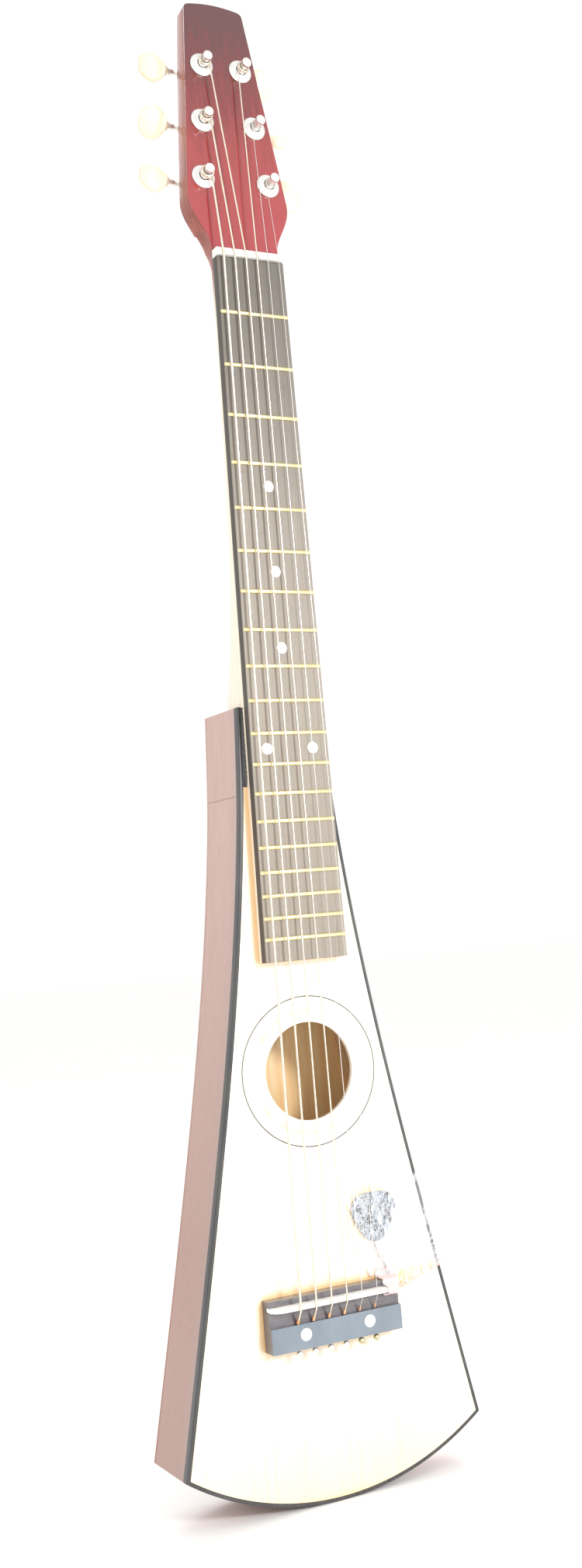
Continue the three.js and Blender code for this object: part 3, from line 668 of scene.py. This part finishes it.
def pearl():
    """Folded flakes of grey and blue under a clear face, with white lines between them, partly the pearl's
    own veins and partly painted highlights of the bag's folds.
    """
    paint = Paint("pearl", roughness=0.16, coat_weight=0.8, coat_roughness=0.03)
    warp = paint.noise((240, 240, 240), 3, 0.6, 1.2)
    place = paint.node("VectorMath", {0: paint.coords((380, 380, 210)), 1: warp}, operation="ADD")
    flakes = paint.node("TexVoronoi", {"Vector": place.outputs[0], "Scale": 1, "Randomness": 1})
    grey = paint.node("SeparateColor", {"Color": flakes.outputs["Color"]}).outputs[0]
    veins = paint.noise((900, 900, 380), 5, 0.7, 2.5)
    tone = paint.math("ADD", paint.math("MULTIPLY", grey, 0.62), paint.math("MULTIPLY", veins, 0.42))
    stops = [
        (0.3, (0.015, 0.018, 0.023)), (0.4, (0.06, 0.08, 0.11)),
        (0.62, (0.14, 0.175, 0.22)), (0.8, (0.5, 0.55, 0.62)),
    ]
    # white lines between the flakes: partly veining, partly painted highlights of the bag's folds
    edges = paint.node("TexVoronoi", {"Vector": place.outputs[0], "Scale": 1.7}, feature="DISTANCE_TO_EDGE")
    vein_and_glint = paint.span(edges.outputs["Distance"], 0.045, 0.012)
    shards = paint.mix(vein_and_glint, paint.ramp(tone, stops), (0.88, 0.9, 0.94))
    paint.set(base_color=shards)
    return paint.bump(veins, 0.3, 0.0002)


def film():
    """Thin clear film with painted highlights: more opaque, and so whiter, along its creases."""
    paint = Paint("film", base_color=(0.95, 0.95, 0.97), roughness=0.12, coat_weight=0.5)
    creases = paint.noise((90, 90, 50), 5, 0.65, 2.0)
    # painted highlight: the creases made more opaque and so whiter
    sharp = paint.ramp(creases, [(0.44, 0.0), (0.5, 1.0), (0.56, 0.0)])
    paint.set(alpha=paint.span(sharp, 0, 1, 0.07, 0.42))
    return paint.bump(creases, 0.6, 0.0006)


def folded_film():
    """The same film doubled over, milky and printed with faint pink bars across its folds."""
    paint = Paint("folded_film", roughness=0.2, coat_weight=0.5)
    inputs = {"Vector": paint.coords(), "Scale": 75, "Distortion": 1.5}
    bars = paint.node("TexWave", inputs, bands_direction="Z")
    fac = bars.outputs["Fac"]
    paint.set(base_color=paint.ramp(fac, [(0.25, (0.9, 0.66, 0.65)), (0.5, (0.95, 0.91, 0.91))]))
    paint.set(alpha=paint.span(fac, 0.2, 0.7, 0.75, 0.55))
    return paint.bump(paint.noise((260, 260, 260), 4), 0.5, 0.0005)


def string_metal(name, colour, tarnish, wound):
    """Drawn or wound steel; the winding shows as fine rings along z."""
    paint = metal(name, colour, tarnish, 0.24)
    if wound:
        rings = paint.node("TexWave", {"Vector": paint.coords(), "Scale": 420}, bands_direction="Z")
        paint.bump(rings.outputs["Fac"], 0.35, 0.00008)
    return paint


def finish(paint, slot):
    return paint.material, slot


SPRUCE = finish(spruce(), "spruce_top")
MAHOGANY = finish(mahogany(), "mahogany")
BACK_WOOD = finish(back_mahogany(), "mahogany")
NECK_WOOD = finish(neck_wood(), "neck_wood")
CHERRY = finish(cherry_face(), "cherry_gloss")
BOARD = finish(dark_board(), "dark_board")
BLACK = finish(gloss("black_binding", (0.03, 0.031, 0.033), 0.26, (0.055, 0.053, 0.052), 0.35), "black_trim")
BRIDGE_BLACK = finish(bridge_black(), "black_bridge")
BRASS = finish(metal("fret_brass", (0.92, 0.81, 0.47), (0.82, 0.69, 0.38), 0.3), "fret_brass")
GEAR_BRASS = finish(metal("gear_brass", (0.68, 0.48, 0.2), (0.42, 0.28, 0.12), 0.32), "gear_brass")
LEDGE_BLACK = finish(ledge_black(), "black_trim")
BALL_BRASS = finish(metal("ball_brass", (0.62, 0.56, 0.38), (0.45, 0.4, 0.27), 0.4), "gear_brass")
TWIST_BRASS = finish(metal("twist_brass", (0.86, 0.5, 0.28), (0.66, 0.33, 0.17), 0.35), "gear_brass")
NICKEL = finish(metal("nickel", (0.92, 0.91, 0.88), (0.78, 0.75, 0.7), 0.28), "nickel")
BONE = finish(solid_colour("bone", (0.93, 0.91, 0.87), (0.87, 0.84, 0.77), 0.3), "bone_white")
CREAM = finish(
    solid_colour("cream_plastic", (0.84, 0.755, 0.59), (0.78, 0.65, 0.45), 0.22, 0.6, 90),
    "cream_plastic",
)
WOUND = finish(string_metal("wound_string", (0.84, 0.77, 0.66), (0.7, 0.6, 0.46), True), "string_steel")
PLAIN = finish(string_metal("plain_string", (0.8, 0.78, 0.75), (0.66, 0.64, 0.6), False), "string_steel")
PEARL = finish(pearl(), "pearl")
FILM = finish(film(), "clear_film")
FOLD = finish(folded_film(), "clear_film")
ZIP = finish(solid_colour("zip_strip", (0.9, 0.64, 0.64), (0.86, 0.5, 0.52), 0.3, 0.3, 300), "clear_film")
BARE_STOPS = [(0.3, (0.76, 0.5, 0.27)), (0.5, (0.84, 0.6, 0.35)), (0.75, (0.9, 0.68, 0.43))]
INNER = finish(wood("inner_wood", BARE_STOPS, 0.002, 0.1, 0.6), "inner_wood")
TAN_STOPS = [(0.3, (0.7, 0.55, 0.44)), (0.7, (0.82, 0.7, 0.58))]
TAN = finish(wood("rosette_tan", TAN_STOPS, 0.001, 0.004, 0.3, 0.5), "spruce_top")
RING_DARK = finish(gloss("rosette_dark", (0.06, 0.058, 0.056), 0.35, (0.1, 0.095, 0.09)), "black_trim")

# ------------ body


def wall(first, last, y1, y2, depth, edge):
    """A strip along part of the outline, depth thick, its front outer edge rounded by edge."""
    outer, inner = OUTLINE[first:last + 1], wall_outline(1)[first:last + 1] - OUTLINE[first:last + 1]
    arc = np.linspace(0, math.pi / 2, 5)
    section = [(0, y1)]
    if edge:
        section = [(edge * (1 - math.sin(a)), y1 + edge * (1 - math.cos(a))) for a in arc]
    section += [(0, y2), (depth, y2), (depth, y1)]
    rings = [
        [(p[0] + d[0] * s, y, p[1] + d[1] * s) for s, y in section]
        for p, d in zip(outer, inner)
    ]
    return loft(rings)


def build_body():
    rim = BINDING_WIDE + 0.05
    hole = circle(0, -HOLE_AT, HOLE_RADIUS, 96)
    piece("top", slab(wall_outline(rim), FRONT, FRONT + TOP_THICK, 0.12, [hole]), SPRUCE,
          stands_for=["soundboard"])
    corner, tail_end, last = FLANK_STEPS, FLANK_STEPS + TAIL_STEPS, len(OUTLINE) - 1
    bound = FRONT + BINDING_DEEP
    piece("edge_binding", wall(0, last, FRONT, bound, BINDING_WIDE, 0.45), BLACK, stands_for=["binding"])
    for side, name in ((-1, "bass"), (1, "treble")):
        piece(f"{name}_ledge_lacquer", ledge_lacquer(side), LEDGE_BLACK)
    low = BACK - BACK_THICK
    stretches = [("treble_side", 0, corner), ("tail_side", corner, tail_end), ("bass_side", tail_end, last)]
    for name, a, b in stretches:
        piece(f"{name}_wall", wall(a, b, bound, low, SIDE_THICK, 0), MAHOGANY, stands_for=[name])
    piece("back_plate", slab(OUTLINE, low, BACK, 1.0), BACK_WOOD, stands_for=["back_panel"])
    braces = ("upper_brace", "lower_brace", "back_brace", "bridge_plate")
    for node in ("tail_block", "front_lining", "back_lining", *braces):
        dress(node, INNER)


def ledge_lacquer(side):
    """Black lacquer run into the corner between the fretboard and the binding."""
    stations = np.linspace(SHOULDER + 0.4, LEDGE_END - 1, 70)
    rings = []
    for i, along in enumerate(stations):
        near = board_half(along) + 0.05
        far = np.interp(along, -OUTLINE[:FLANK_STEPS, 1], OUTLINE[:FLANK_STEPS, 0]) - BINDING_WIDE
        swell = (0.7 + 0.3 * math.sin(2.1 * i) * math.sin(0.73 * i + 1)) * min(1, (LEDGE_END - along) / 6)
        section = [(near, FRONT - 0.02), (near, FRONT - 0.3 - 1.5 * swell)]
        for t in (0.3, 0.6, 0.85):
            section.append((near + (far - near) * t, FRONT - 0.1 - 1.5 * swell * (1 - t) ** 2))
        section += [(far, FRONT - 0.08), (far, FRONT - 0.02)]
        rings.append([(side * x, y, -along) for x, y in section])
    return loft(rings)


def ring(inner, outer, y1, y2, sides=120):
    """A flat inlaid ring about y."""
    profile = soften([(outer, y1), (outer, y2), (inner, y2), (inner, y1)], 0.04, steps=2)
    return turned(profile, sides, closed=True)


def build_rosette():
    place = Matrix.Translation((0, 0, -HOLE_AT))
    piece("rosette_rim", ring(HOLE_RADIUS, RIM_OUTER, FRONT - 0.1, FRONT + 1), BONE, place=place)
    piece("rosette_band", ring(*BAND_RADII, FRONT - 0.05, FRONT + 1), TAN, place=place)
    piece("rosette_line", ring(*LINE_RADII, FRONT - 0.05, FRONT + 1), RING_DARK, place=place)


# ------------ neck, fretboard and nut


def neck_depth(along):
    """How deep the neck is, growing into the heel."""
    t = max(0, (along - HEEL_START) / (SHOULDER - 0.1 - HEEL_START))
    return NECK_DEEP + HEEL_GROW * t**2.2


def smooth_step(value, low, high):
    """From 0 at low to 1 at high, level at both."""
    t = min(1, max(0, (value - low) / (high - low)))
    return t * t * t * (t * (6 * t - 15) + 10)


def neck_ring(up):
    """The section at a distance above the nut, round-backed below it and square at the head."""
    t = smooth_step(up, -8, 26)
    power = 2 / (2.4 + 12 * t)
    a = np.linspace(0, math.pi, 49)
    wide = flattened(np.cos(a), power)
    deep = np.abs(np.sin(a)) ** power
    along = max(0, -up)
    on_neck = board_half(along) - 0.1 - 0.06 * max(0, up)
    on_head = np.interp(up, HEAD_SIDE[:, 1], HEAD_SIDE[:, 0]) - 0.05
    mix = smooth_step(up, 0, 6)
    half = on_neck + (on_head - on_neck) * mix
    ring_points = []
    for w, d in zip(wide, deep):
        straight = Vector((half * w, NECK_TOP + neck_depth(along) * d, up))
        leaning = HEAD @ Vector((half * w, VENEER + (HEAD_THICK - VENEER - 0.05) * d, up))
        ring_points.append(straight.lerp(leaning, t))
    return ring_points


def board_outline(start, end):
    """The fretboard's tapered outline."""
    a, b = board_half(start), board_half(end)
    return np.array([(a, -start), (b, -end), (-b, -end), (-a, -start)])


def build_neck():
    stations = np.r_[np.linspace(-SHOULDER + 0.1, -HEEL_START, 36), np.linspace(-HEEL_START, 36, 60)[1:]]
    solid = loft([neck_ring(up) for up in stations])
    bores = [circle(s * across, along, TUNER_BORE, 28) for along, across in TUNERS for s in (-1, 1)]
    solid.merge(slab(head_outline(20), VENEER, HEAD_THICK, 1.1, bores, 5), HEAD)
    solid.merge(slab(board_outline(SHOULDER - 1, BOARD_END), BOARD_THICK, FRONT - 0.02, 0.15))
    block = wall_outline(SIDE_THICK + GLUE)
    inside = block[block[:, 1] > -BLOCK_END]
    solid.merge(slab(inside, FRONT + TOP_THICK + GLUE, BACK - BACK_THICK - GLUE, 0.2))
    piece("neck_body", solid, NECK_WOOD, stands_for=["neck"])
    face = slab(head_outline(NUT_THICK + 0.9), 0, VENEER, 0.35, bores)
    piece("head_veneer", face, CHERRY, place=HEAD, stands_for=["headstock_face"])


def fret(n):
    """A domed wire with its ends filed back."""
    along = fret_at(n)
    half = board_half(along) - 0.2
    a = np.linspace(0, math.pi, 13)
    rings = []
    left = [(-half, 0.25), (-half + 0.35, 0.7), (-half + 0.9, 1)]
    for x, size in left + [(-x, size) for x, size in reversed(left)]:
        dome = [(x, -1.2 * size * math.sin(t), -along + 1.25 * (0.4 + 0.6 * size) * math.cos(t)) for t in a]
        rings.append(dome + [(x, 0.25, -along - 1.0), (x, 0.25, -along + 1.0)])
    return loft(rings)


def disc(radius, y1, y2, sides=40):
    """A round inlay with an eased edge."""
    return turned(soften([(0, y1), (radius, y1), (radius, y2), (0, y2)], 0.15, closed=False), sides)


def build_board():
    outline = soften(board_outline(0.05, BOARD_END), 0.6)
    piece("board", slab(outline, 0, BOARD_THICK, 0.45), BOARD, stands_for=["fretboard"])
    for n in range(1, FRETS + 1):
        piece(f"fret_{n}", fret(n), BRASS, stands_for=["frets"] if n == 1 else [])
    for i, (x, along) in enumerate(DOTS):
        piece(f"dot_{i + 1}", disc(DOT_RADIUS, -0.06, 0.3), BONE, place=Matrix.Translation((x, 0, -along)))
    dress("nut", BONE, 0.35)


def build_bridge():
    dress("bridge", BRIDGE_BLACK, 0.4)
    dress("saddle", BONE, 0.45)
    for i, x in enumerate((-BOLT_HALF, BOLT_HALF)):
        piece(f"bolt_cap_{i + 1}", disc(BOLT_RADIUS, BLOCK_Y - 0.18, BLOCK_Y + 0.3), BONE,
              place=Matrix.Translation((x, 0, -BOLT_AT)))


# ------------ tuners


def tuner_place(side, tuner):
    """Where a tuner's post meets the headstock's face, its x pointing out to the button."""
    along, across = TUNERS[tuner]
    turn = -ROW_TILT if side > 0 else math.pi + ROW_TILT
    return HEAD @ Matrix.Translation((side * across, 0, along)) @ Matrix.Rotation(turn, 4, "Y")


def bushing():
    """The flanged round washer on the face, with its sleeve in the bore."""
    bore, sleeve = 3.3, 4.4
    return turned(soften([
        (bore, 9), (sleeve, 9), (sleeve, -0.05), (BUSHING_FLANGE, -0.05), (BUSHING_FLANGE, -0.8),
        (6.9, -1.5), (sleeve, -2.1), (3.9, -2.6), (bore, -2.6),
    ], 0.5, steps=4), 48, closed=True)


def post():
    """The string post, with a slotted screw over the gear."""
    screw = 2.35
    solid = turned(soften([
        (0, GEAR_FAR + 0.9), (screw, GEAR_FAR + 0.9), (screw, GEAR_FAR + 0.3),
        (JOURNAL_RADIUS, GEAR_FAR + 0.3), (JOURNAL_RADIUS, GEAR_NEAR - 0.6),
        (POST_RADIUS, GEAR_NEAR - 0.6), (POST_RADIUS, -2.9), (POST_WAIST, -3.5),
        (POST_WAIST, -8.8), (POST_RADIUS, -9.4), (POST_RADIUS, -10.9), (2.4, POST_TIP), (0, POST_TIP),
    ], 0.3, closed=False, steps=3), 32)
    for turn in (0, math.pi):
        a = np.linspace(-1.35, 1.35, 15)
        half_disc = (screw - 0.05) * np.c_[np.cos(a), np.sin(a)]
        solid.merge(slab(half_disc, GEAR_FAR + 0.8, GEAR_FAR + 1.6, 0.2), Matrix.Rotation(turn, 4, "Y"))
    return solid


def gear():
    """A wheel of straight teeth that narrow towards their tips."""
    path = []
    for i in range(GEAR_TEETH):
        for share, radius in ((-0.32, GEAR_ROOT), (-0.17, GEAR_TIP), (0.17, GEAR_TIP), (0.32, GEAR_ROOT)):
            a = 2 * math.pi * (i + share) / GEAR_TEETH
            path.append((radius * math.cos(a), radius * math.sin(a)))
    return slab(path, GEAR_NEAR, GEAR_FAR, 0.2, [circle(0, 0, JOURNAL_RADIUS + 0.1, 24)])


def worm():
    """Shaft along x with a helical thread over the gear and collars by the button."""
    angles = np.linspace(0, 2 * math.pi, 24, endpoint=False)

    def section(x, radius):
        return np.c_[np.full(len(angles), x), radius * np.cos(angles), radius * np.sin(angles)]

    end, shoulder = -LUG_AT - 1.7, WORM_HALF + 0.3
    rings = [section(end, 0.001), section(end, SHAFT_RADIUS), section(-shoulder, SHAFT_RADIUS)]
    for x in np.linspace(-WORM_HALF, WORM_HALF, 89):
        phase = (x / WORM_PITCH - angles / (2 * math.pi)) % 1
        rings.append(section(x, WORM_CORE + THREAD_DEEP * np.clip(2.2 - abs(phase - 0.5) * 6, 0, 1)))
    collars = [
        (7.4, SHAFT_RADIUS), (7.5, 1.8), (9.6, 1.9), (9.8, 1.5), (10.6, 1.5), (10.8, 2.1), (13.1, 2.1),
        (13.3, 1.6), (13.7, 1.6), (13.8, 2.2), (14.7, 2.2), (14.8, SHAFT_RADIUS),
    ]
    for x, radius in [(shoulder, SHAFT_RADIUS), *collars, (BUTTON_AT + 2, SHAFT_RADIUS)]:
        rings.append(section(x, radius))
    return loft(rings)


def button():
    """An oval knob along x, wide in z and thin in y, on a round neck."""
    profile = spline([
        (0.001, 9.9), (5.3, 8.9), (8.9, 5.6), (10.3, 0.9),
        (9.4, -3.2), (6, -6.6), (3.2, -8.3), (2.9, -BUTTON_NECK),
    ], 44)
    a = np.linspace(0, 2 * math.pi, 40, endpoint=False)
    rings = []
    for r, x in profile:
        thin = 0.4 + 0.5 * smooth_step(-x, 4.8, 8.6)
        wide, flat = flattened(np.cos(a), 0.92), flattened(np.sin(a), 0.86)
        rings.append([(BUTTON_AT + x, r * thin * f, r * w) for w, f in zip(wide, flat)])
    rings.append([(BUTTON_AT - BUTTON_NECK, p[1] * 0.5, p[2] * 0.5) for p in rings[-1]])
    return loft(rings)


def plate(hand):
    """One strip for three tuners with a pair of bearing lugs for each worm."""
    left, right, past_post, past_worm, bore, lug_half = -8.2, 8.6, 9, 13, 3.3, 2.4
    ends = sorted([-hand * (ROW_PITCH + past_post), hand * (ROW_PITCH + past_worm)])
    spots = (-ROW_PITCH, 0, ROW_PITCH)
    bores = [circle(0, z, bore, 28) for z in spots]
    solid = slab(soften(rectangle(left, right, *ends), 3.5), PLATE_NEAR, PLATE_FAR, 0.3, bores)
    lying = Matrix.Rotation(math.pi / 2, 4, "Z")  # turns the slab's y to -x and its x to y
    for z in spots:
        middle = z + hand * WORM_OFFSET
        outline = soften(rectangle(PLATE_FAR - 0.4, WORM_DEPTH + 2.6, -lug_half, lug_half), 1.9)
        for x in (-LUG_AT, LUG_AT):
            lug = slab(outline, -x - 0.9, -x + 0.9, 0.2, [circle(WORM_DEPTH, 0, SHAFT_RADIUS + 0.25, 20)])
            solid.merge(lug, Matrix.Translation((0, 0, middle)) @ lying)
    return solid


def build_tuners():
    for side, name in ((-1, "bass_tuner_plate"), (1, "treble_tuner_plate")):
        piece(f"{name}_strip", plate(side), NICKEL, place=tuner_place(side, 1), stands_for=[name])
    for name, _, side, tuner, turn, _ in STRINGS:
        place = tuner_place(side, tuner)
        key = place @ Matrix.Translation((0, WORM_DEPTH, side * WORM_OFFSET))
        turned_key = key @ Matrix.Rotation(math.radians(turn), 4, "X")
        piece(f"ferrule_{name}", bushing(), NICKEL, place=place, stands_for=[f"bushing_{name}"])
        piece(f"string_post_{name}", post(), NICKEL, f"post_body_{name}", [f"post_{name}"], place)
        piece(f"wheel_{name}", gear(), GEAR_BRASS, f"post_body_{name}", [f"gear_{name}"], place)
        piece(f"worm_shaft_{name}", worm(), NICKEL, f"key_body_{name}", [f"worm_{name}"], key)
        piece(f"knob_{name}", button(), CREAM, f"key_body_{name}", [f"button_{name}"], turned_key)


# ------------ strings


def string_x(i, spacing):
    """How far string i runs from the centre line."""
    return (i - 2.5) * spacing


def string_path(i):
    """From the ball end behind the bridge, over the saddle and the nut, and round the post."""
    _, size, side, tuner, _, _ = STRINGS[i]
    along, across = TUNERS[tuner]
    radius = size / 2
    x_saddle, x_nut = string_x(i, SADDLE_SPACING), string_x(i, NUT_SPACING)
    coil = POST_WAIST + 0.3 + radius
    dx, dz = side * across - x_nut, along - NUT_THICK
    start = math.atan2(dz, dx) + math.pi - side * math.acos(coil / math.hypot(dx, dz))
    over = STRING_Y_SADDLE - radius
    bends = [
        (x_saddle, STRING_HOLE_Y, -BRIDGE_REAR - 2.2),
        (x_saddle, STRING_HOLE_Y, -BLOCK_FRONT + 0.3),
        (x_saddle, over + 0.1, -SADDLE_AT - 1.3),
        (x_saddle, over, -SADDLE_AT + 0.8),
        (x_nut, STRING_Y_NUT - radius, 0),
        (x_nut, STRING_Y_NUT - radius, 1.5),
    ]
    wraps = []
    for turn in np.linspace(0, WRAP_TURNS, round(WRAP_TURNS * 26)):
        a = start - side * turn * 2 * math.pi
        depth = WRAP_START - radius - turn * (size + 0.05)
        spot = (side * across + coil * math.cos(a), depth, along + coil * math.sin(a))
        wraps.append(tuple(HEAD @ Vector(spot)))
    return np.vstack([soften(bends, 1.2, closed=False, steps=4), wraps])


def twist(i):
    """The ball end's lock winding, where the string leaves the block for the saddle."""
    radius = STRINGS[i][1] / 2 + 0.12
    start = np.array((string_x(i, SADDLE_SPACING), STRING_HOLE_Y - 0.3, -BLOCK_FRONT + 0.7))
    run = np.array((0, STRING_Y_SADDLE - STRING_HOLE_Y, BLOCK_FRONT - SADDLE_AT)) * 0.26
    along = run / np.linalg.norm(run)
    across = np.array((1.0, 0, 0))
    up = np.cross(along, across)
    turns = 8
    points = []
    for t in np.linspace(0, 1, 97):
        a = 2 * math.pi * turns * t
        points.append(start + run * t + radius * (across * math.cos(a) + up * math.sin(a)))
    return tube(points, 0.24, 6)


def build_strings():
    for i, (name, size, _, _, _, wound) in enumerate(STRINGS):
        path = string_path(i)
        piece(f"wire_{name}", tube(path, size / 2), WOUND if wound else PLAIN, stands_for=[f"string_{name}"])
        # painted highlight: the wound strings' ball ends are pale nickel, standing for brass washed out by
        # light; the plain strings' keep a darker brass
        piece(f"ball_end_{name}", ball(path[0], BALL_RADIUS), NICKEL if wound else BALL_BRASS)
        piece(f"twist_{name}", twist(i), TWIST_BRASS)


# ------------ plectrum in its bag


def pick_path():
    """A rounded triangle with a point towards the tail."""
    a = np.linspace(0, 2 * math.pi, 96, endpoint=False)
    radius = PICK_HALF * (0.98 + 0.1 * np.sin(3 * a))
    return np.c_[PICK_X + radius * np.cos(a), -PICK_AT + radius * np.sin(a)]


def mouth(x):
    """Height of the bag's mouth, which slants up from the end of the bridge."""
    return -MOUTH_AT + (x - MOUTH_X) * MOUTH_SLOPE


def bag_point(u, v):
    """A place on the bag, u across it from the bass side and v down it to its mouth."""
    near, far = (np.array(corner) for corner in BAG_TOP)
    top = near * (1 - u) + far * u
    low_x = BAG_NEAR * (1 - u) + BAG_FAR * u
    beside = smooth_step(low_x, BRIDGE_HALF + 0.3, BRIDGE_HALF + 1.6)
    low = np.array((low_x, -BAG_LOW * (1 - beside) + mouth(low_x) * beside))
    return top * (1 - v) + low * v


def bag():
    """Two loose sheets welded at their edges, creased round the plectrum."""
    solid = Solid()
    steps = 56
    for front in (1, -1):
        rows = []
        for v in np.linspace(0, 1, steps + 1):
            row = []
            for u in np.linspace(0, 1, steps + 1):
                x, z = bag_point(u, v)
                rim = min(1, 9 * u, 9 * (1 - u), 9 * v, 9 * (1 - v))
                wave = math.sin(11 * u + 6 * v) * math.sin(4 * u - 9 * v + 1)
                fold = 0.3 * math.sin(31 * (u - 0.3 * v)) * math.sin(13 * v + 2)
                near = math.hypot(x - PICK_X, z + PICK_AT) / PICK_HALF
                hug = smooth_step(near, 0.95, 1.5)
                swell = (0.55 + 0.7 * wave + fold) * hug + 0.12
                y = PICK_Y + 0.4 - front * (0.4 + 0.2 * hug + max(-0.4, swell)) * rim
                row.append((x, min(y, FRONT - 0.25), z))
            rows.append(row)
        solid.skin(rows, closed=False, around=False)
    return solid


def zip_strip():
    """Two ridges along the bag's mouth, beside the bridge and on past the edge of the body."""
    solid = Solid()
    for shift in (0, 1.5):
        x = np.linspace(43.4, BAG_FAR, 60)
        z = mouth(x) + shift + 0.5 * np.sin((x - MOUTH_X) / 9)
        y = FRONT - 0.75 - 0.2 * np.sin(x / 4)
        solid.merge(tube(np.c_[x, y, z], 0.3, 8))
    return solid


def bag_fold():
    """The corner of the bag's mouth lying crumpled over the end of the bridge and its saddle."""
    steps = 44
    x, along = np.meshgrid(np.linspace(32, 47, steps), np.linspace(602.5, 616.5, steps))
    deck_y, bridge_front = 1.0, BAG_LOW + 0.7
    over = np.full(x.shape, FRONT - 0.5)
    over[(x < BRIDGE_HALF + 0.5) & (along > bridge_front)] = deck_y
    saddle = np.interp(x, [34.5, 39.2, 41.5, BRIDGE_HALF], [-5.0, -3.3, 0.2, deck_y])
    on_saddle = (abs(along - SADDLE_AT) < 2) & (x < BRIDGE_HALF)
    over[on_saddle] = saddle[on_saddle]
    for settle in (np.min, np.min, np.mean, np.mean, np.mean):  # the sheet bridges corners, then relaxes
        near = [np.roll(over, (i, j), (0, 1)) for i in (-1, 0, 1) for j in (-1, 0, 1)]
        over[1:-1, 1:-1] = settle(near, 0)[1:-1, 1:-1]
    crinkle = 0.35 * abs(np.sin(1.3 * along + 0.5 * x)) + 0.15 * np.sin(2.9 * x - along)
    y = np.minimum(over - 0.25 - crinkle, FRONT - 0.3)
    solid = Solid()
    for lift in (0, 0.12):
        solid.skin(np.dstack([x, y - lift, -along]), closed=False, around=False)
    return solid


def build_pick():
    piece("plectrum", slab(pick_path(), PICK_Y, PICK_Y + PICK_THICK, 0.35), PEARL, stands_for=["pick"])
    piece("bag_film", bag(), FILM, stands_for=["pick_bag"], sharp=180)
    piece("bag_fold", bag_fold(), FOLD, sharp=180)
    piece("bag_zip", zip_strip(), ZIP)


# ------------ stage


def area_light(name, place, target, size, power):
    """A white disc of light turned to a target, in metres and watts."""
    data = bpy.data.lights.new(name, "AREA")
    data.shape, data.size, data.energy = "DISK", size, power
    obj = bpy.data.objects.new(name, data)
    obj.location = place
    obj.rotation_euler = (Vector(target) - Vector(place)).to_track_quat("-Z", "Y").to_euler()
    bpy.context.scene.collection.objects.link(obj)


def build_stage():
    world = bpy.data.worlds.new("world")
    bpy.context.scene.world = world
    world.use_nodes = True
    background = world.node_tree.nodes["Background"]
    background.inputs["Color"].default_value = (1, 1, 1, 1)
    background.inputs["Strength"].default_value = 0.95
    mesh = bpy.data.meshes.new("floor")
    low, reach = -TAIL * MM, 9
    corners = [(x, y, low) for x, y in rectangle(-reach, reach, -reach, reach)]
    mesh.from_pydata(corners, [], [(0, 1, 2, 3)])
    floor = bpy.data.objects.new("floor", mesh)
    bpy.context.scene.collection.objects.link(floor)
    paint = solid_colour("floor", (0.945, 0.938, 0.925), (0.94, 0.93, 0.915), 0.6, 0, 3)
    mesh.materials.append(paint.material)
    area_light("key", (1.25, -1.3, -0.5), (0, 0, -0.4), 0.45, 1.5)
    area_light("window", (0.5, -1.5, 0.1), (0, 0, -0.4), 0.35, 17)
    area_light("fill", (-1.6, -1.2, 0.6), (0, 0, -0.3), 1.2, 4.5)
    area_light("rim", (0.4, 1.6, 0.9), (0, 0, -0.2), 1.0, 12)
    view = bpy.context.scene.view_settings
    view.view_transform, view.look, view.exposure = "Standard", "None", 0.15


build_body()
build_rosette()
build_neck()
build_board()
build_bridge()
build_tuners()
build_strings()
build_pick()
build_stage()
